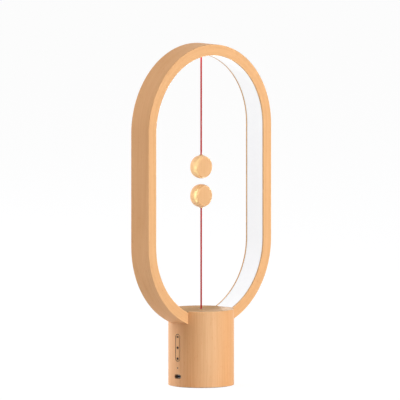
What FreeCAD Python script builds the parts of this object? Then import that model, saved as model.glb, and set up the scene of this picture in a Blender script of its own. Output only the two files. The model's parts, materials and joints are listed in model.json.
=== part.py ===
import FreeCAD, Part

"""Magnetic balance lamp: a wooden ring of light on a round base, switched by two hanging balls.

Frame: the origin is the middle of the underside, +Z is up and the ring lies in the XZ plane.
The front is -Y; the key bar and the charging socket are on the -X side. Lengths are millimetres.

A magnet in each ball holds the lower ball up against its string, and that pull lifts a rod
that works a microswitch in the base. Every size sits in the spreadsheet "Sizes", and every
piece takes its dimensions and place from it through expressions.
"""

import math
import os
import re

import Sketcher

Vector = FreeCAD.Vector

# Sizes that can be chosen freely, in millimetres and degrees.
SIZES = {
    # Wooden ring
    "total_height": 400.6,
    "ring_width": 199.7,
    "ring_sink": 21.5,
    "band_thickness": 12.8,
    "band_depth": 29.6,
    "lip_width": 1.8,
    "channel_depth": 7.0,
    "ring_edge_round": 0.6,
    # Light strip and its cover in the ring's channel
    "strip_width": 10.0,
    "strip_thickness": 0.4,
    "strip_opening": 40.0,
    "chip_length": 3.5,
    "chip_width": 2.8,
    "chip_height": 0.8,
    "chip_count_arc": 17.0,
    "chip_count_straight": 8.0,
    "cover_skin": 1.6,
    "cover_leg": 1.5,
    "cover_recess": 0.3,
    "cover_opening": 20.0,
    "play": 0.15,
    "running_play": 0.06,
    # Base
    "base_diameter": 76.9,
    "base_height": 89.7,
    "base_wall": 8.0,
    "base_edge_round": 0.5,
    "ceiling_thickness": 3.2,
    "shell_lift": 0.6,
    "seat_ledge": 6.0,
    "cap_inset": 2.6,
    "foot_pad_thickness": 1.0,
    "foot_pad_margin": 1.2,
    "bottom_plate_thickness": 2.0,
    "ballast_thickness": 6.0,
    "ballast_gap": 1.6,
    # Strings and their fittings
    "string_diameter": 2.0,
    "knot_diameter": 2.1,
    "upper_knot_diameter": 2.6,
    "knot_gap": 0.05,
    "anchor_diameter": 4.0,
    "anchor_depth": 9.0,
    "pivot_below_top": 1.5,
    "ferrule_diameter": 3.2,
    "ferrule_flange": 4.4,
    "ferrule_flange_thickness": 0.6,
    "ferrule_depth": 5.0,
    "string_insert": 3.0,
    "eyelet_diameter": 8.0,
    "eyelet_length": 5.0,
    "eyelet_throat": 2.7,
    "eyelet_mouth": 6.4,
    "eyelet_throat_length": 0.3,
    # Balls
    "ball_diameter": 27.2,
    "ball_thickness": 13.2,
    "ball_edge_round": 2.0,
    "ball_gap": 6.7,
    "ball_level": 4.85,
    "magnet_diameter": 9.6,
    "magnet_length": 6.0,
    "magnet_cover": 2.0,
    # Pull switch
    "rod_diameter": 4.0,
    "rod_rise": 3.2,
    "rod_overhang": 3.5,
    "rod_travel": 3.0,
    "tail_insert": 2.5,
    "collar_diameter": 7.8,
    "striker_thickness": 2.0,
    "striker_reach": 8.6,
    "striker_start": 2.0,
    "striker_end": 6.0,
    "spring_length": 9.0,
    "spring_diameter": 6.2,
    "spring_wire": 0.6,
    "spring_turns": 5.0,
    "bracket_sheet": 1.0,
    "bracket_width": 18.0,
    "bracket_half_span": 21.5,
    "bracket_screw_reach": 18.0,
    "bracket_screw_spread": 5.5,
    "guide_margin": 4.0,
    "guide_front": 5.0,
    "case_front": 5.0,
    "case_width": 5.8,
    "case_length": 12.8,
    "case_height": 6.5,
    "case_lug": 0.8,
    "lever_thickness": 0.3,
    "lever_gap": 0.15,
    "lever_hinge_x": -5.4,
    "lever_pin_diameter": 1.0,
    "button_offset": 3.4,
    "button_length": 1.2,
    "button_width": 2.8,
    "button_hidden": 1.4,
    # Key bar
    "key_headroom": 2.8,
    "key_above_light": 7.9,
    "key_end_margin": 3.15,
    "key_slot_width": 7.0,
    "key_side_gap": 0.5,
    "key_dot_diameter": 2.0,
    "key_dot_depth": 0.4,
    "key_face_recess": 0.1,
    "key_bar_thickness": 5.0,
    "key_rock_gap": 0.7,
    "key_pin_diameter": 2.0,
    "key_pin_length": 5.0,
    "key_neck": 1.2,
    "carrier_inset": 0.8,
    "carrier_flange_width": 11.0,
    "carrier_flange_lap": 0.8,
    "carrier_flange_thickness": 1.2,
    "carrier_pin_diameter": 2.4,
    "key_travel": 0.5,
    "key_rest_gap": 0.05,
    "dome_diameter": 6.0,
    "dome_top_diameter": 3.2,
    "dome_height": 0.6,
    # Control board, charging socket and charge light
    "board_inset": 13.1,
    "board_thickness": 1.6,
    "board_width": 26.0,
    "board_lift": 0.6,
    "board_headroom": 2.5,
    "board_screw_spread": 11.0,
    "board_screw_rise": 11.0,
    "board_screw_drop": 4.0,
    "port_height": 12.5,
    "port_hole_width": 11.2,
    "port_hole_height": 5.2,
    "bezel_wall": 0.5,
    "bezel_length": 5.0,
    "bezel_recess": 0.4,
    "socket_width": 8.94,
    "socket_height": 3.2,
    "socket_length": 10.4,
    "socket_wall": 0.3,
    "socket_back": 2.0,
    "tongue_width": 6.7,
    "tongue_thickness": 0.7,
    "tongue_setback": 0.6,
    "light_height": 22.5,
    "light_diameter": 2.0,
    "light_recess": 0.15,
    "led_length": 1.6,
    "led_width": 0.8,
    "led_height": 0.6,
    "controller_size": 5.0,
    "controller_height": 1.0,
    "coil_diameter": 5.0,
    "coil_height": 2.4,
    "component_spread": 5.2,
    # Chassis and battery
    "chassis_sheet": 2.0,
    "chassis_depth": 32.0,
    "board_standoff": 2.4,
    "standoff_diameter": 4.0,
    "window_width": 17.0,
    "window_sill": 5.0,
    "window_lintel": 5.5,
    "battery_side_gap": 7.6,
    "battery_post_drop": 12.0,
    "battery_width": 30.0,
    "battery_thickness": 8.0,
    "battery_headroom": 7.0,
    "battery_lift": 1.0,
    "battery_pad_thickness": 0.5,
    "battery_pad_width": 24.0,
    "battery_pad_height": 30.0,
    "battery_edge": 1.5,
    # Fasteners
    "plate_screw_inset": 3.0,
    "plate_screw_count": 3.0,
    "screw_diameter": 2.5,
    "screw_head_diameter": 4.4,
    "screw_head_height": 1.4,
    "insert_diameter": 4.0,
    "insert_length": 5.0,
    "ring_screw_gap": 6.0,
    "ring_screw_bite": 3.4,
    "bracket_screw_bite": 8.0,
    "chassis_screw_spread": 14.0,
    "board_screw_length": 3.6,
    # Leads inside the base
    "lead_diameter": 1.6,
    "lead_hole_diameter": 3.0,
    "lead_hole_inset": 0.5,
    "lead_room": 3.5,
    "connector_width": 5.0,
    "connector_height": 4.0,
    "connector_depth": 3.0,
    "strip_connector_drop": 12.5,
    "battery_connector_rise": 14.4,
}

# Places and sizes that follow from the ones above, as expressions over their names.
DERIVED = {
    "ring_radius": "ring_width / 2",
    "ring_bottom": "base_height - ring_sink",
    "arc_low_z": "ring_bottom + ring_radius",
    "arc_high_z": "total_height - ring_radius",
    "ring_inner_radius": "ring_radius - band_thickness",
    "channel_radius": "ring_inner_radius + channel_depth",
    "channel_width": "band_depth - 2 * lip_width",
    "ring_inner_top": "total_height - band_thickness",
    "ring_middle": "(arc_low_z + arc_high_z) / 2",
    "strip_inner_radius": "channel_radius - strip_thickness",
    "cover_inner_radius": "ring_inner_radius + cover_recess",
    "cover_outer_radius": "channel_radius - play",
    "cover_width": "channel_width - 2 * play",
    "base_radius": "base_diameter / 2",
    "ceiling_height": "ring_bottom - ceiling_thickness",
    "cavity_radius": "base_radius - base_wall",
    "seat_radius": "cavity_radius + seat_ledge",
    "plate_radius": "seat_radius - play",
    "plate_top": "foot_pad_thickness + bottom_plate_thickness",
    "ballast_diameter": "2 * (cavity_radius - ballast_gap)",
    "ballast_top": "plate_top + ballast_thickness",
    "chassis_top": "ballast_top + chassis_sheet",
    "cap_length": "2 * (base_radius - cap_inset)",
    "upper_pivot_z": "ring_inner_top - pivot_below_top",
    "lower_pivot_z": "base_height - pivot_below_top",
    "ball_radius": "ball_diameter / 2",
    "balls_meet_z": "ring_middle + ball_level",
    "upper_ball_height": "balls_meet_z + ball_gap / 2 + ball_radius",
    "lower_ball_height": "balls_meet_z - ball_gap / 2 - ball_radius",
    "bracket_bottom": "ceiling_height - bracket_sheet",
    "striker_top": "bracket_bottom - spring_length",
    "striker_bottom": "striker_top - striker_thickness",
    "guide_height": "striker_bottom - rod_travel - guide_margin",
    "rod_bottom": "guide_height - bracket_sheet - rod_overhang",
    "rod_top": "ring_bottom + rod_rise",
    "lever_bottom": "striker_top + lever_gap",
    "lever_mid": "lever_bottom + lever_thickness / 2",
    "lever_top": "lever_bottom + lever_thickness",
    "case_top": "bracket_bottom - 2 * play",
    "case_bottom": "case_top - case_height",
    "case_back": "case_front + case_width",
    "button_bottom": "lever_top + key_rest_gap",
    "button_top": "case_bottom + button_hidden",
    "key_slot_bottom": "light_height + key_above_light",
    "key_slot_top": "ceiling_height - key_headroom",
    "key_slot_height": "key_slot_top - key_slot_bottom",
    "key_centre_height": "(key_slot_top + key_slot_bottom) / 2",
    "key_pitch": "key_slot_height / 2 - key_end_margin",
    "key_width": "key_slot_width - 2 * key_side_gap",
    "key_height": "key_slot_height - 2 * key_side_gap",
    "key_back_x": "base_radius - key_bar_thickness",
    "carrier_front_x": "key_back_x - key_rock_gap",
    "flange_half_width": "carrier_flange_width / 2",
    "flange_front_x": "sqrt(cavity_radius ^ 2 - flange_half_width ^ 2) - 2 * play",
    "flange_back_x": "flange_front_x - carrier_flange_thickness",
    "board_face_x": "base_radius - board_inset",
    "dome_top_x": "board_face_x + dome_height",
    "carrier_tip_x": "dome_top_x + key_travel + key_rest_gap",
    "board_back_x": "board_face_x - board_thickness",
    "board_post_x": "board_back_x - board_standoff",
    "socket_mouth_x": "board_face_x + socket_length",
    "bezel_front_x": "base_radius - bezel_recess",
    "board_bottom": "ballast_top + board_lift",
    "board_top": "ceiling_height - board_headroom",
    "board_screw_low": "board_bottom + board_screw_rise",
    "board_screw_high": "board_top - board_screw_drop",
    "strip_connector_height": "board_top - strip_connector_drop",
    "battery_connector_height": "board_bottom + battery_connector_rise",
    "switch_connector_height": "(strip_connector_height + battery_connector_height) / 2",
    "component_level": "(switch_connector_height + battery_connector_height) / 2",
    "window_bottom": "chassis_top + window_sill",
    "window_top": "board_top - window_lintel",
    "battery_far_x": "cavity_radius - battery_side_gap",
    "battery_post_x": "battery_far_x - battery_thickness - battery_pad_thickness - chassis_sheet",
    "battery_face_x": "battery_post_x + chassis_sheet",
    "battery_near_x": "battery_face_x + battery_pad_thickness",
    "lead_hole_x": "battery_near_x - lead_hole_inset",
    "ring_screw_spread": "lead_hole_x + ring_screw_gap",
    "battery_bottom": "chassis_top + battery_lift",
    "battery_height": "ceiling_height - battery_headroom - battery_bottom",
    "battery_post_height": "battery_bottom + battery_height - battery_post_drop",
    "plate_screw_radius": "cavity_radius + plate_screw_inset",
    "lever_tip_x": "case_length / 2",
    "lever_width": "case_width - 2 * case_lug - 2 * play",
    "lever_middle_y": "case_front + case_width / 2",
}

WORD = re.compile(r"\b[a-z][a-z_]*[a-z]\b")
FUNCTIONS = {"sqrt", "sin", "cos", "tan", "min", "max", "abs"}
TOLERANCE = 1e-6
AXIS_TURNS = {
    "x": FreeCAD.Rotation(Vector(0, 1, 0), 90),
    "y": FreeCAD.Rotation(Vector(1, 0, 0), -90),
    "z": FreeCAD.Rotation(),
    "-x": FreeCAD.Rotation(Vector(0, 1, 0), -90),
    "-z": FreeCAD.Rotation(Vector(1, 0, 0), 180),
}

doc = FreeCAD.newDocument("BalanceLamp")
sheet = doc.addObject("Spreadsheet::Sheet", "Sizes")
parts = []


# ---------------------------------------------------------------- expressions


def fill_sheet():
    """Write every free size into the spreadsheet under its own name."""
    for row, (name, size) in enumerate(SIZES.items(), start=1):
        sheet.set(f"A{row}", str(size))
        sheet.setAlias(f"A{row}", name)
    doc.recompute()


def expand(text):
    """Turn the names in an expression into spreadsheet references."""

    def swap(match):
        word = match.group(0)
        if word in DERIVED:
            return f"({expand(DERIVED[word])})"
        if word in FUNCTIONS:
            return word
        return f"Sizes.{word}"

    return WORD.sub(swap, str(text))


def value(text):
    """Work out an expression with the sizes as they stand."""
    return float(sheet.evalExpression(expand(text)))


def bind(obj, **expressions):
    """Bind properties to expressions; x, y and z stand for the placement's base."""
    for name, text in expressions.items():
        path = f".Placement.Base.{name}" if name in "xyz" else name
        obj.setExpression(path, expand(text))
    return obj


def keep(label, obj):
    """Register an object as a finished sub-part under its own label."""
    obj.Label = label
    parts.append(obj)
    return obj


# ----------------------------------------------------------- Part primitives


def block(xs, ys, zs):
    """A box between two expressions along each axis."""
    box = doc.addObject("Part::Box", "Block")
    bind(box, x=xs[0], y=ys[0], z=zs[0])
    bind(box, Length=f"({xs[1]}) - ({xs[0]})")
    bind(box, Width=f"({ys[1]}) - ({ys[0]})")
    bind(box, Height=f"({zs[1]}) - ({zs[0]})")
    return box


def rod(diameter, length, at, axis="z"):
    """A cylinder that starts at a point and runs along an axis."""
    cylinder = doc.addObject("Part::Cylinder", "Rod")
    cylinder.Placement = FreeCAD.Placement(Vector(), AXIS_TURNS[axis])
    bind(cylinder, Radius=f"({diameter}) / 2", Height=length, x=at[0], y=at[1], z=at[2])
    return cylinder


def cone(start_diameter, end_diameter, length, at, axis="z"):
    """A cone that starts at a point and runs along an axis."""
    solid = doc.addObject("Part::Cone", "Taper")
    solid.Placement = FreeCAD.Placement(Vector(), AXIS_TURNS[axis])
    bind(solid, Radius1=f"({start_diameter}) / 2", Radius2=f"({end_diameter}) / 2")
    bind(solid, Height=length, x=at[0], y=at[1], z=at[2])
    return solid


def sphere(diameter, at):
    """A ball about a point."""
    ball = doc.addObject("Part::Sphere", "Ball")
    bind(ball, Radius=f"({diameter}) / 2", x=at[0], y=at[1], z=at[2])
    return ball


def joined(shapes):
    """One solid from several that touch or overlap."""
    if len(shapes) == 1:
        return shapes[0]
    fuse = doc.addObject("Part::MultiFuse", "Joined")
    fuse.Shapes = shapes
    fuse.Refine = True
    return fuse


def without(base, tools):
    """The base with the tools cut away."""
    cut = doc.addObject("Part::Cut", "Trimmed")
    cut.Base = base
    cut.Tool = joined(tools)
    return cut


def shared(first, second):
    """What two solids have in common."""
    common = doc.addObject("Part::Common", "Shared")
    common.Base = first
    common.Tool = second
    return common


def group(solids):
    """Separate solids that make up one sub-part."""
    compound = doc.addObject("Part::Compound", "Group")
    compound.Links = solids
    return compound


def slot_block(xs, width, height, middle_z):
    """A bar along X with a section of two half circles, upright when height exceeds width."""
    round_size = f"min({width}; {height})"
    half_z = f"(({height}) - {round_size}) / 2"
    half_y = f"(({width}) - {round_size}) / 2"
    length = f"({xs[1]}) - ({xs[0]})"
    ends = [
        rod(round_size, length, (xs[0], f"{side} * {half_y}", f"({middle_z}) + {side} * {half_z}"), "x")
        for side in (-1, 1)
    ]
    if value(height) > value(width):
        bar = block(xs, (f"-({width}) / 2", f"({width}) / 2"),
                    (f"({middle_z}) - {half_z}", f"({middle_z}) + {half_z}"))
    else:
        bar = block(xs, (f"-{half_y}", half_y),
                    (f"({middle_z}) - ({height}) / 2", f"({middle_z}) + ({height}) / 2"))
    return joined([bar] + ends)


def arc_disc(radius, depth, centre_z):
    """A disc about an arc centre of the ring, across the ring's depth."""
    return rod(f"2 * ({radius})", depth, ("0", f"-({depth}) / 2", centre_z), "y")


# ------------------------------------------------------------ sketched bodies


def plane_of(body, role):
    """The body's own origin plane or axis with the given role."""
    return next(item for item in body.Origin.OriginFeatures if item.Role == role)


def new_sketch(body, role):
    """An empty sketch on one of the body's origin planes."""
    sketch = body.newObject("Sketcher::SketchObject", f"{body.Name}Sketch")
    sketch.AttachmentSupport = [(plane_of(body, role), "")]
    sketch.MapMode = "FlatFace"
    return sketch


def constrain(sketch, kind, first, second, text=None):
    """Add a constraint and bind its size to an expression."""
    if text is None:
        return sketch.addConstraint(Sketcher.Constraint(kind, *first, *second))
    index = sketch.addConstraint(Sketcher.Constraint(kind, *first, *second, value(text)))
    sketch.setExpression(f"Constraints[{index}]", expand(text))
    return index


def place_point(sketch, edge, end, x_text, y_text):
    """Fix a point of the sketch at a bound place."""
    for kind, text, axis in (("DistanceX", x_text, -2), ("DistanceY", y_text, -1)):
        if abs(value(text)) < TOLERANCE:
            constrain(sketch, "PointOnObject", (edge, end), (axis,))
        else:
            constrain(sketch, kind, (-1, 1), (edge, end), text)


def outline(sketch, corners):
    """A closed outline of straight lines through bound corners."""
    points = [Vector(value(x), value(y), 0) for x, y in corners]
    count = len(points)
    edges = [
        sketch.addGeometry(Part.LineSegment(points[i], points[(i + 1) % count]), False)
        for i in range(count)
    ]
    for i, edge in enumerate(edges):
        constrain(sketch, "Coincident", (edge, 2), (edges[(i + 1) % count], 1))
    for edge, (x_text, y_text) in zip(edges, corners):
        place_point(sketch, edge, 1, x_text, y_text)


def stadium(sketch, radius_text):
    """A closed loop of two half circles and two straight sides, along the ring's centre line."""
    radius = value(radius_text)
    low = Vector(0, value("arc_low_z"), 0)
    high = Vector(0, value("arc_high_z"), 0)
    normal = Vector(0, 0, 1)
    top = sketch.addGeometry(Part.ArcOfCircle(Part.Circle(high, normal, radius), 0, math.pi), False)
    bottom = sketch.addGeometry(
        Part.ArcOfCircle(Part.Circle(low, normal, radius), math.pi, 2 * math.pi), False)
    side = Vector(radius, 0, 0)
    left = sketch.addGeometry(Part.LineSegment(high - side, low - side), False)
    right = sketch.addGeometry(Part.LineSegment(low + side, high + side), False)
    for end, start in ((top, left), (left, bottom), (bottom, right), (right, top)):
        constrain(sketch, "Tangent", (end, 2), (start, 1))
    place_point(sketch, top, 3, "0", "arc_high_z")
    place_point(sketch, bottom, 3, "0", "arc_low_z")
    constrain(sketch, "Radius", (top,), (), radius_text)
    sketch.addConstraint(Sketcher.Constraint("Equal", top, bottom))


def symmetric(body, kind, sketch, length_text):
    """A pad or pocket that runs equally to both sides of its sketch."""
    feature = body.newObject(f"PartDesign::{kind}", f"{body.Name}{kind}")
    feature.Profile = sketch
    feature.SideType = "Symmetric"
    bind(feature, Length=length_text)
    sketch.Visibility = False
    body.Tip = feature
    doc.recompute()
    return feature


def stadium_band(name, outer_text, inner_text, depth_text):
    """A body shaped like the ring: the space between two stadium loops."""
    body = doc.addObject("PartDesign::Body", name)
    sketch = new_sketch(body, "XZ_Plane")
    stadium(sketch, outer_text)
    stadium(sketch, inner_text)
    symmetric(body, "Pad", sketch, depth_text)
    return body


def groove_band(body, outer_text, inner_text, depth_text):
    """Cut the space between two stadium loops out of a body, and check that it cut."""
    before = body.Shape.Volume
    sketch = new_sketch(body, "XZ_Plane")
    stadium(sketch, outer_text)
    stadium(sketch, inner_text)
    symmetric(body, "Pocket", sketch, depth_text)
    if body.Shape.Volume >= before:
        raise RuntimeError(f"{body.Name}: the groove cut nothing")


def turned(name, corners, role="XZ_Plane", axis="V_Axis"):
    """A body of revolution from a half section of bound corners."""
    body = doc.addObject("PartDesign::Body", name)
    sketch = new_sketch(body, role)
    outline(sketch, corners)
    feature = body.newObject("PartDesign::Revolution", f"{name}Turn")
    feature.Profile = sketch
    feature.ReferenceAxis = (sketch, [axis])
    feature.Angle = 360
    sketch.Visibility = False
    body.Tip = feature
    doc.recompute()
    return body


def round_edges(body, radius_text, wanted):
    """Round the edges of a body that the test picks."""
    base = body.Tip
    names = [f"Edge{i}" for i, edge in enumerate(base.Shape.Edges, start=1) if wanted(edge)]
    fillet = body.newObject("PartDesign::Fillet", f"{body.Name}Round")
    fillet.Base = (base, names)
    bind(fillet, Radius=radius_text)
    body.Tip = fillet
    doc.recompute()


def lies_at_y(edge, distance):
    """True for an edge that lies flat at +/- a distance from the XZ plane."""
    box = edge.BoundBox
    return box.YLength < TOLERANCE and abs(abs(box.YMin) - distance) < TOLERANCE


# -------------------------------------------------------------- ring of light


def ring_frame():
    """The wooden ring, with a channel for the light, and its holes at the top and bottom."""
    body = stadium_band("RingBand", "ring_radius", "ring_inner_radius", "band_depth")
    half_depth = value("band_depth") / 2
    round_edges(body, "min(ring_edge_round; lip_width / 3)", lambda edge: lies_at_y(edge, half_depth))
    groove_band(body, "channel_radius", "ring_inner_radius - 1", "channel_width")
    through = "band_thickness + channel_depth"
    tools = [
        rod("anchor_diameter + 2 * running_play", "anchor_depth + play",
            ("0", "0", "upper_pivot_z + upper_knot_diameter / 2")),
        rod("rod_diameter + 2 * play", through, ("0", "0", "ring_bottom - channel_depth")),
        rod("lead_hole_diameter", through, ("lead_hole_x", "0", "ring_bottom - channel_depth")),
    ]
    tools += [screw_hole(x) for x in ("-ring_screw_spread", "ring_screw_spread")]
    return keep("ring_frame", without(body, tools))


def ring_underside(x_text):
    """Height of the ring's outer face above the floor at a distance from the middle."""
    return f"arc_low_z - sqrt(ring_radius ^ 2 - ({x_text}) ^ 2)"


def screw_hole(x_text):
    """The pilot hole of a screw that comes up into the ring."""
    length = f"{ring_underside(x_text)} + ring_screw_bite + play - ceiling_height"
    return rod("screw_diameter + 2 * running_play", length, (x_text, "0", "ceiling_height"))


def led_strip():
    """The flexible strip on the floor of the channel, open where the string passes."""
    body = stadium_band("StripBand", "channel_radius", "strip_inner_radius", "strip_width")
    opening = block(("-strip_opening / 2", "strip_opening / 2"), ("-strip_width", "strip_width"),
                    ("ring_bottom", "arc_low_z"))
    anchor = rod("anchor_diameter + 4 * play", "band_thickness + channel_depth",
                 ("0", "0", "ring_inner_top"))
    return keep("led_strip", without(body, [opening, anchor]))


def chip_places():
    """Centre and turn of each light chip along the strip.

    A flat chip on the curved strip rests on its two ends, so its middle stands a little higher.
    """
    radius = value("strip_inner_radius")
    seat = math.sqrt(radius ** 2 - (value("chip_length") / 2) ** 2)
    high = value("arc_high_z")
    low = value("arc_low_z")
    opening = value("strip_opening") / 2 + value("chip_length")
    clear_of_anchor = value("anchor_diameter") + value("chip_length")
    places = []
    arc_count = round(value("chip_count_arc"))
    for i in range(arc_count + 1):
        angle = math.pi * i / arc_count
        x = seat * math.cos(angle)
        z = seat * math.sin(angle)
        if abs(x) > clear_of_anchor:
            places.append((x, high + z, angle))
        if abs(x) > opening:
            places.append((x, low - z, -angle))
    straight_count = round(value("chip_count_straight"))
    for i in range(1, straight_count):
        z = low + (high - low) * i / straight_count
        places.append((radius, z, 0.0))
        places.append((-radius, z, math.pi))
    return places


def led_chips():
    """The light chips, each a small block that faces the middle of the ring."""
    length = value("chip_length")
    width = value("chip_width")
    height = value("chip_height")
    chips = []
    for x, z, angle in chip_places():
        chip = Part.makeBox(height, width, length, Vector(-height, -width / 2, -length / 2))
        chip.Placement = FreeCAD.Placement(
            Vector(x, 0, z), FreeCAD.Rotation(Vector(0, 1, 0), -math.degrees(angle)))
        chips.append(chip)
    feature = doc.addObject("Part::Feature", "LightChips")
    feature.Shape = Part.makeCompound(chips)
    return keep("led_chips", feature)


def diffuser():
    """The white cover: a skin flush with the ring and two legs that stand in the channel."""
    body = stadium_band("CoverBand", "cover_outer_radius", "cover_inner_radius", "cover_width")
    groove_band(body, "cover_outer_radius + 1", "cover_inner_radius + cover_skin",
                "cover_width - 2 * cover_leg")
    opening = block(("-cover_opening / 2", "cover_opening / 2"), ("-band_depth", "band_depth"),
                    ("ring_bottom", "arc_low_z"))
    anchor = rod("anchor_diameter + 2 * play", "band_thickness + channel_depth",
                 ("0", "0", "ring_inner_top - channel_depth"))
    return keep("diffuser", without(body, [opening, anchor]))


# ----------------------------------------------------------------------- base


def base_shell():
    """The turned wooden base: hollow from below, slotted across the top for the ring."""
    body = turned("ShellTurn", [
        ("cavity_radius", "plate_top"),
        ("seat_radius", "plate_top"),
        ("seat_radius", "shell_lift"),
        ("base_radius", "shell_lift"),
        ("base_radius", "base_height"),
        ("0", "base_height"),
        ("0", "ceiling_height"),
        ("cavity_radius", "ceiling_height"),
    ])
    radius = value("base_radius")
    ends = (value("shell_lift"), value("base_height"))

    def is_rim(edge):
        box = edge.BoundBox
        flat = box.ZLength < TOLERANCE and any(abs(box.ZMin - end) < TOLERANCE for end in ends)
        return flat and abs(box.XMax - radius) < TOLERANCE

    round_edges(body, "min(base_edge_round; base_wall / 8)", is_rim)
    slot_depth = "band_depth + 2 * play"
    tools = [
        shared(arc_disc("ring_radius + play", slot_depth, "arc_low_z"),
               block(("-base_diameter", "base_diameter"), ("-base_diameter", "base_diameter"),
                     ("ceiling_height", "base_height + band_thickness"))),
        slot_block(("-base_radius - 1", "-cavity_radius + base_wall / 2"),
                   "key_slot_width", "key_slot_height", "key_centre_height"),
        slot_block(("-base_radius - 1", "-cavity_radius + base_wall / 2"),
                   "port_hole_width", "port_hole_height", "port_height"),
        rod("light_diameter", "2 * base_wall", ("-base_radius - 1", "0", "light_height"), "x"),
        rod("rod_diameter + 2 * play", "base_height", ("0", "0", "ceiling_height - 1")),
        rod("lead_hole_diameter", "band_thickness", ("lead_hole_x", "0", "ceiling_height - 1")),
    ]
    tools += [screw_hole(x) for x in ("-ring_screw_spread", "ring_screw_spread")]
    tools += [
        rod("screw_diameter + 2 * running_play", "bracket_screw_bite + play", (x, y, "ceiling_height"))
        for x, y in bracket_screw_places()
    ]
    tools += [
        rod("insert_diameter + 2 * running_play", "insert_length + 2 * play", (x, y, "plate_top"))
        for x, y in plate_screw_places()
    ]
    return keep("base_shell", without(body, tools))


def base_top_cap():
    """The wooden filler over the ring that makes the top of the base flat."""
    half = "cap_length / 2"
    body = shared(
        arc_disc("ring_inner_radius - play", "band_depth", "arc_low_z"),
        shared(block((f"-{half}", half), ("-band_depth / 2", "band_depth / 2"),
                     ("ring_bottom", "base_height")),
               rod("base_diameter - 2 * play", "base_height + 1", ("0", "0", "0"))))
    tools = [
        rod("eyelet_diameter + 2 * running_play", "eyelet_length + 1",
            ("0", "0", "base_height - eyelet_length")),
        rod("rod_diameter", "base_height", ("0", "0", "ceiling_height")),
    ]
    return keep("base_top_cap", without(body, tools))


def base_eyelet():
    """The bell-mouthed bush that the lower string comes up through."""
    eyelet = turned("EyeletTurn", [
        ("eyelet_throat / 2", "base_height - eyelet_length"),
        ("eyelet_diameter / 2", "base_height - eyelet_length"),
        ("eyelet_diameter / 2", "base_height"),
        ("eyelet_mouth / 2", "base_height"),
        ("eyelet_throat / 2", "base_height - eyelet_length + eyelet_throat_length"),
    ])
    return keep("base_eyelet", eyelet)


def screw(head_z, length_text, x_text, y_text, up=True):
    """A pan-head screw along Z: its head starts at head_z and its shank runs on from there."""
    axis = "z" if up else "-z"
    sign = "+" if up else "-"
    head = rod("screw_head_diameter", "screw_head_height", (x_text, y_text, head_z), axis)
    shank_start = f"({head_z}) {sign} screw_head_height"
    return joined([head, rod("screw_diameter", length_text, (x_text, y_text, shank_start), axis)])


def ring_screws():
    """Two screws from inside the base into the bottom of the ring."""
    screws = []
    for x in ("-ring_screw_spread", "ring_screw_spread"):
        length = f"{ring_underside(x)} + ring_screw_bite - ceiling_height"
        screws.append(screw("ceiling_height - screw_head_height", length, x, "0"))
    return keep("ring_screws", group(screws))


def plate_screw_places():
    """Where the screws of the bottom plate stand, evenly spaced from the +X side."""
    count = round(value("plate_screw_count"))
    return [
        (f"plate_screw_radius * cos({360.0 * i / count})",
         f"plate_screw_radius * sin({360.0 * i / count})")
        for i in range(count)
    ]


def bottom_plate():
    """The plate that closes the base and carries the ballast and the chassis."""
    plate = rod("2 * plate_radius", "bottom_plate_thickness", ("0", "0", "foot_pad_thickness"))
    places = plate_screw_places() + chassis_screw_places()
    tools = []
    for x, y in places:
        tools.append(rod("screw_head_diameter + 2 * running_play", "screw_head_height",
                         (x, y, "foot_pad_thickness")))
        tools.append(rod("screw_diameter + 2 * running_play", "2 * bottom_plate_thickness",
                         (x, y, "foot_pad_thickness")))
    return keep("bottom_plate", without(plate, tools))


def bottom_screws():
    """The screws that hold the bottom plate to the shell."""
    length = "bottom_plate_thickness - screw_head_height + insert_length"
    screws = [screw("foot_pad_thickness", length, x, y) for x, y in plate_screw_places()]
    return keep("bottom_screws", group(screws))


def threaded_inserts():
    """The brass inserts in the shell that take the bottom screws."""
    inserts = [
        without(rod("insert_diameter", "insert_length", (x, y, "plate_top")),
                [rod("screw_diameter + 2 * running_play", "insert_length", (x, y, "plate_top"))])
        for x, y in plate_screw_places()
    ]
    return keep("threaded_inserts", group(inserts))


def foot_pad():
    """The soft disc that the lamp stands on."""
    pad = rod("2 * (plate_radius - foot_pad_margin)", "foot_pad_thickness", ("0", "0", "0"))
    return keep("foot_pad", pad)


def chassis_screw_places():
    """Where the screws of the chassis stand."""
    return [("0", "-chassis_screw_spread"), ("0", "chassis_screw_spread")]


def ballast_disc():
    """The steel disc that keeps the lamp upright."""
    disc = rod("ballast_diameter", "ballast_thickness", ("0", "0", "plate_top"))
    tools = [
        rod("screw_diameter + 2 * running_play", "ballast_thickness", (x, y, "plate_top"))
        for x, y in chassis_screw_places()
    ]
    return keep("ballast_disc", without(disc, tools))


def board_screw_places():
    """Where the screws of the control board stand, as expressions over Y and Z."""
    return [
        (y, z)
        for y in ("-board_screw_spread", "board_screw_spread")
        for z in ("board_screw_low", "board_screw_high")
    ]


def chassis():
    """The moulded frame on the ballast: a window frame for the board and a post for the battery."""
    half_depth = "chassis_depth / 2"
    half_board = "board_width / 2"
    solids = [
        block(("-board_post_x", "battery_face_x"), (f"-{half_depth}", half_depth),
              ("ballast_top", "chassis_top")),
        block(("-board_post_x", "chassis_sheet - board_post_x"), (f"-{half_board}", half_board),
              ("ballast_top", "board_top")),
        block(("battery_post_x", "battery_face_x"), (f"-{half_depth}", half_depth),
              ("ballast_top", "battery_post_height")),
    ]
    solids += [
        rod("standoff_diameter", "board_standoff + chassis_sheet / 2", ("-board_back_x", y, z), "x")
        for y, z in board_screw_places()
    ]
    window = block(("-board_post_x - 1", "chassis_sheet + 1 - board_post_x"),
                   ("-window_width / 2", "window_width / 2"), ("window_bottom", "window_top"))
    tools = [window]
    tools += [
        rod("screw_diameter + 2 * running_play", "chassis_sheet", (x, y, "ballast_top"))
        for x, y in chassis_screw_places()
    ]
    tools += [
        rod("screw_diameter + 2 * running_play", "board_screw_length", ("-board_face_x", y, z), "x")
        for y, z in board_screw_places()
    ]
    return keep("chassis", without(joined(solids), tools))


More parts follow.
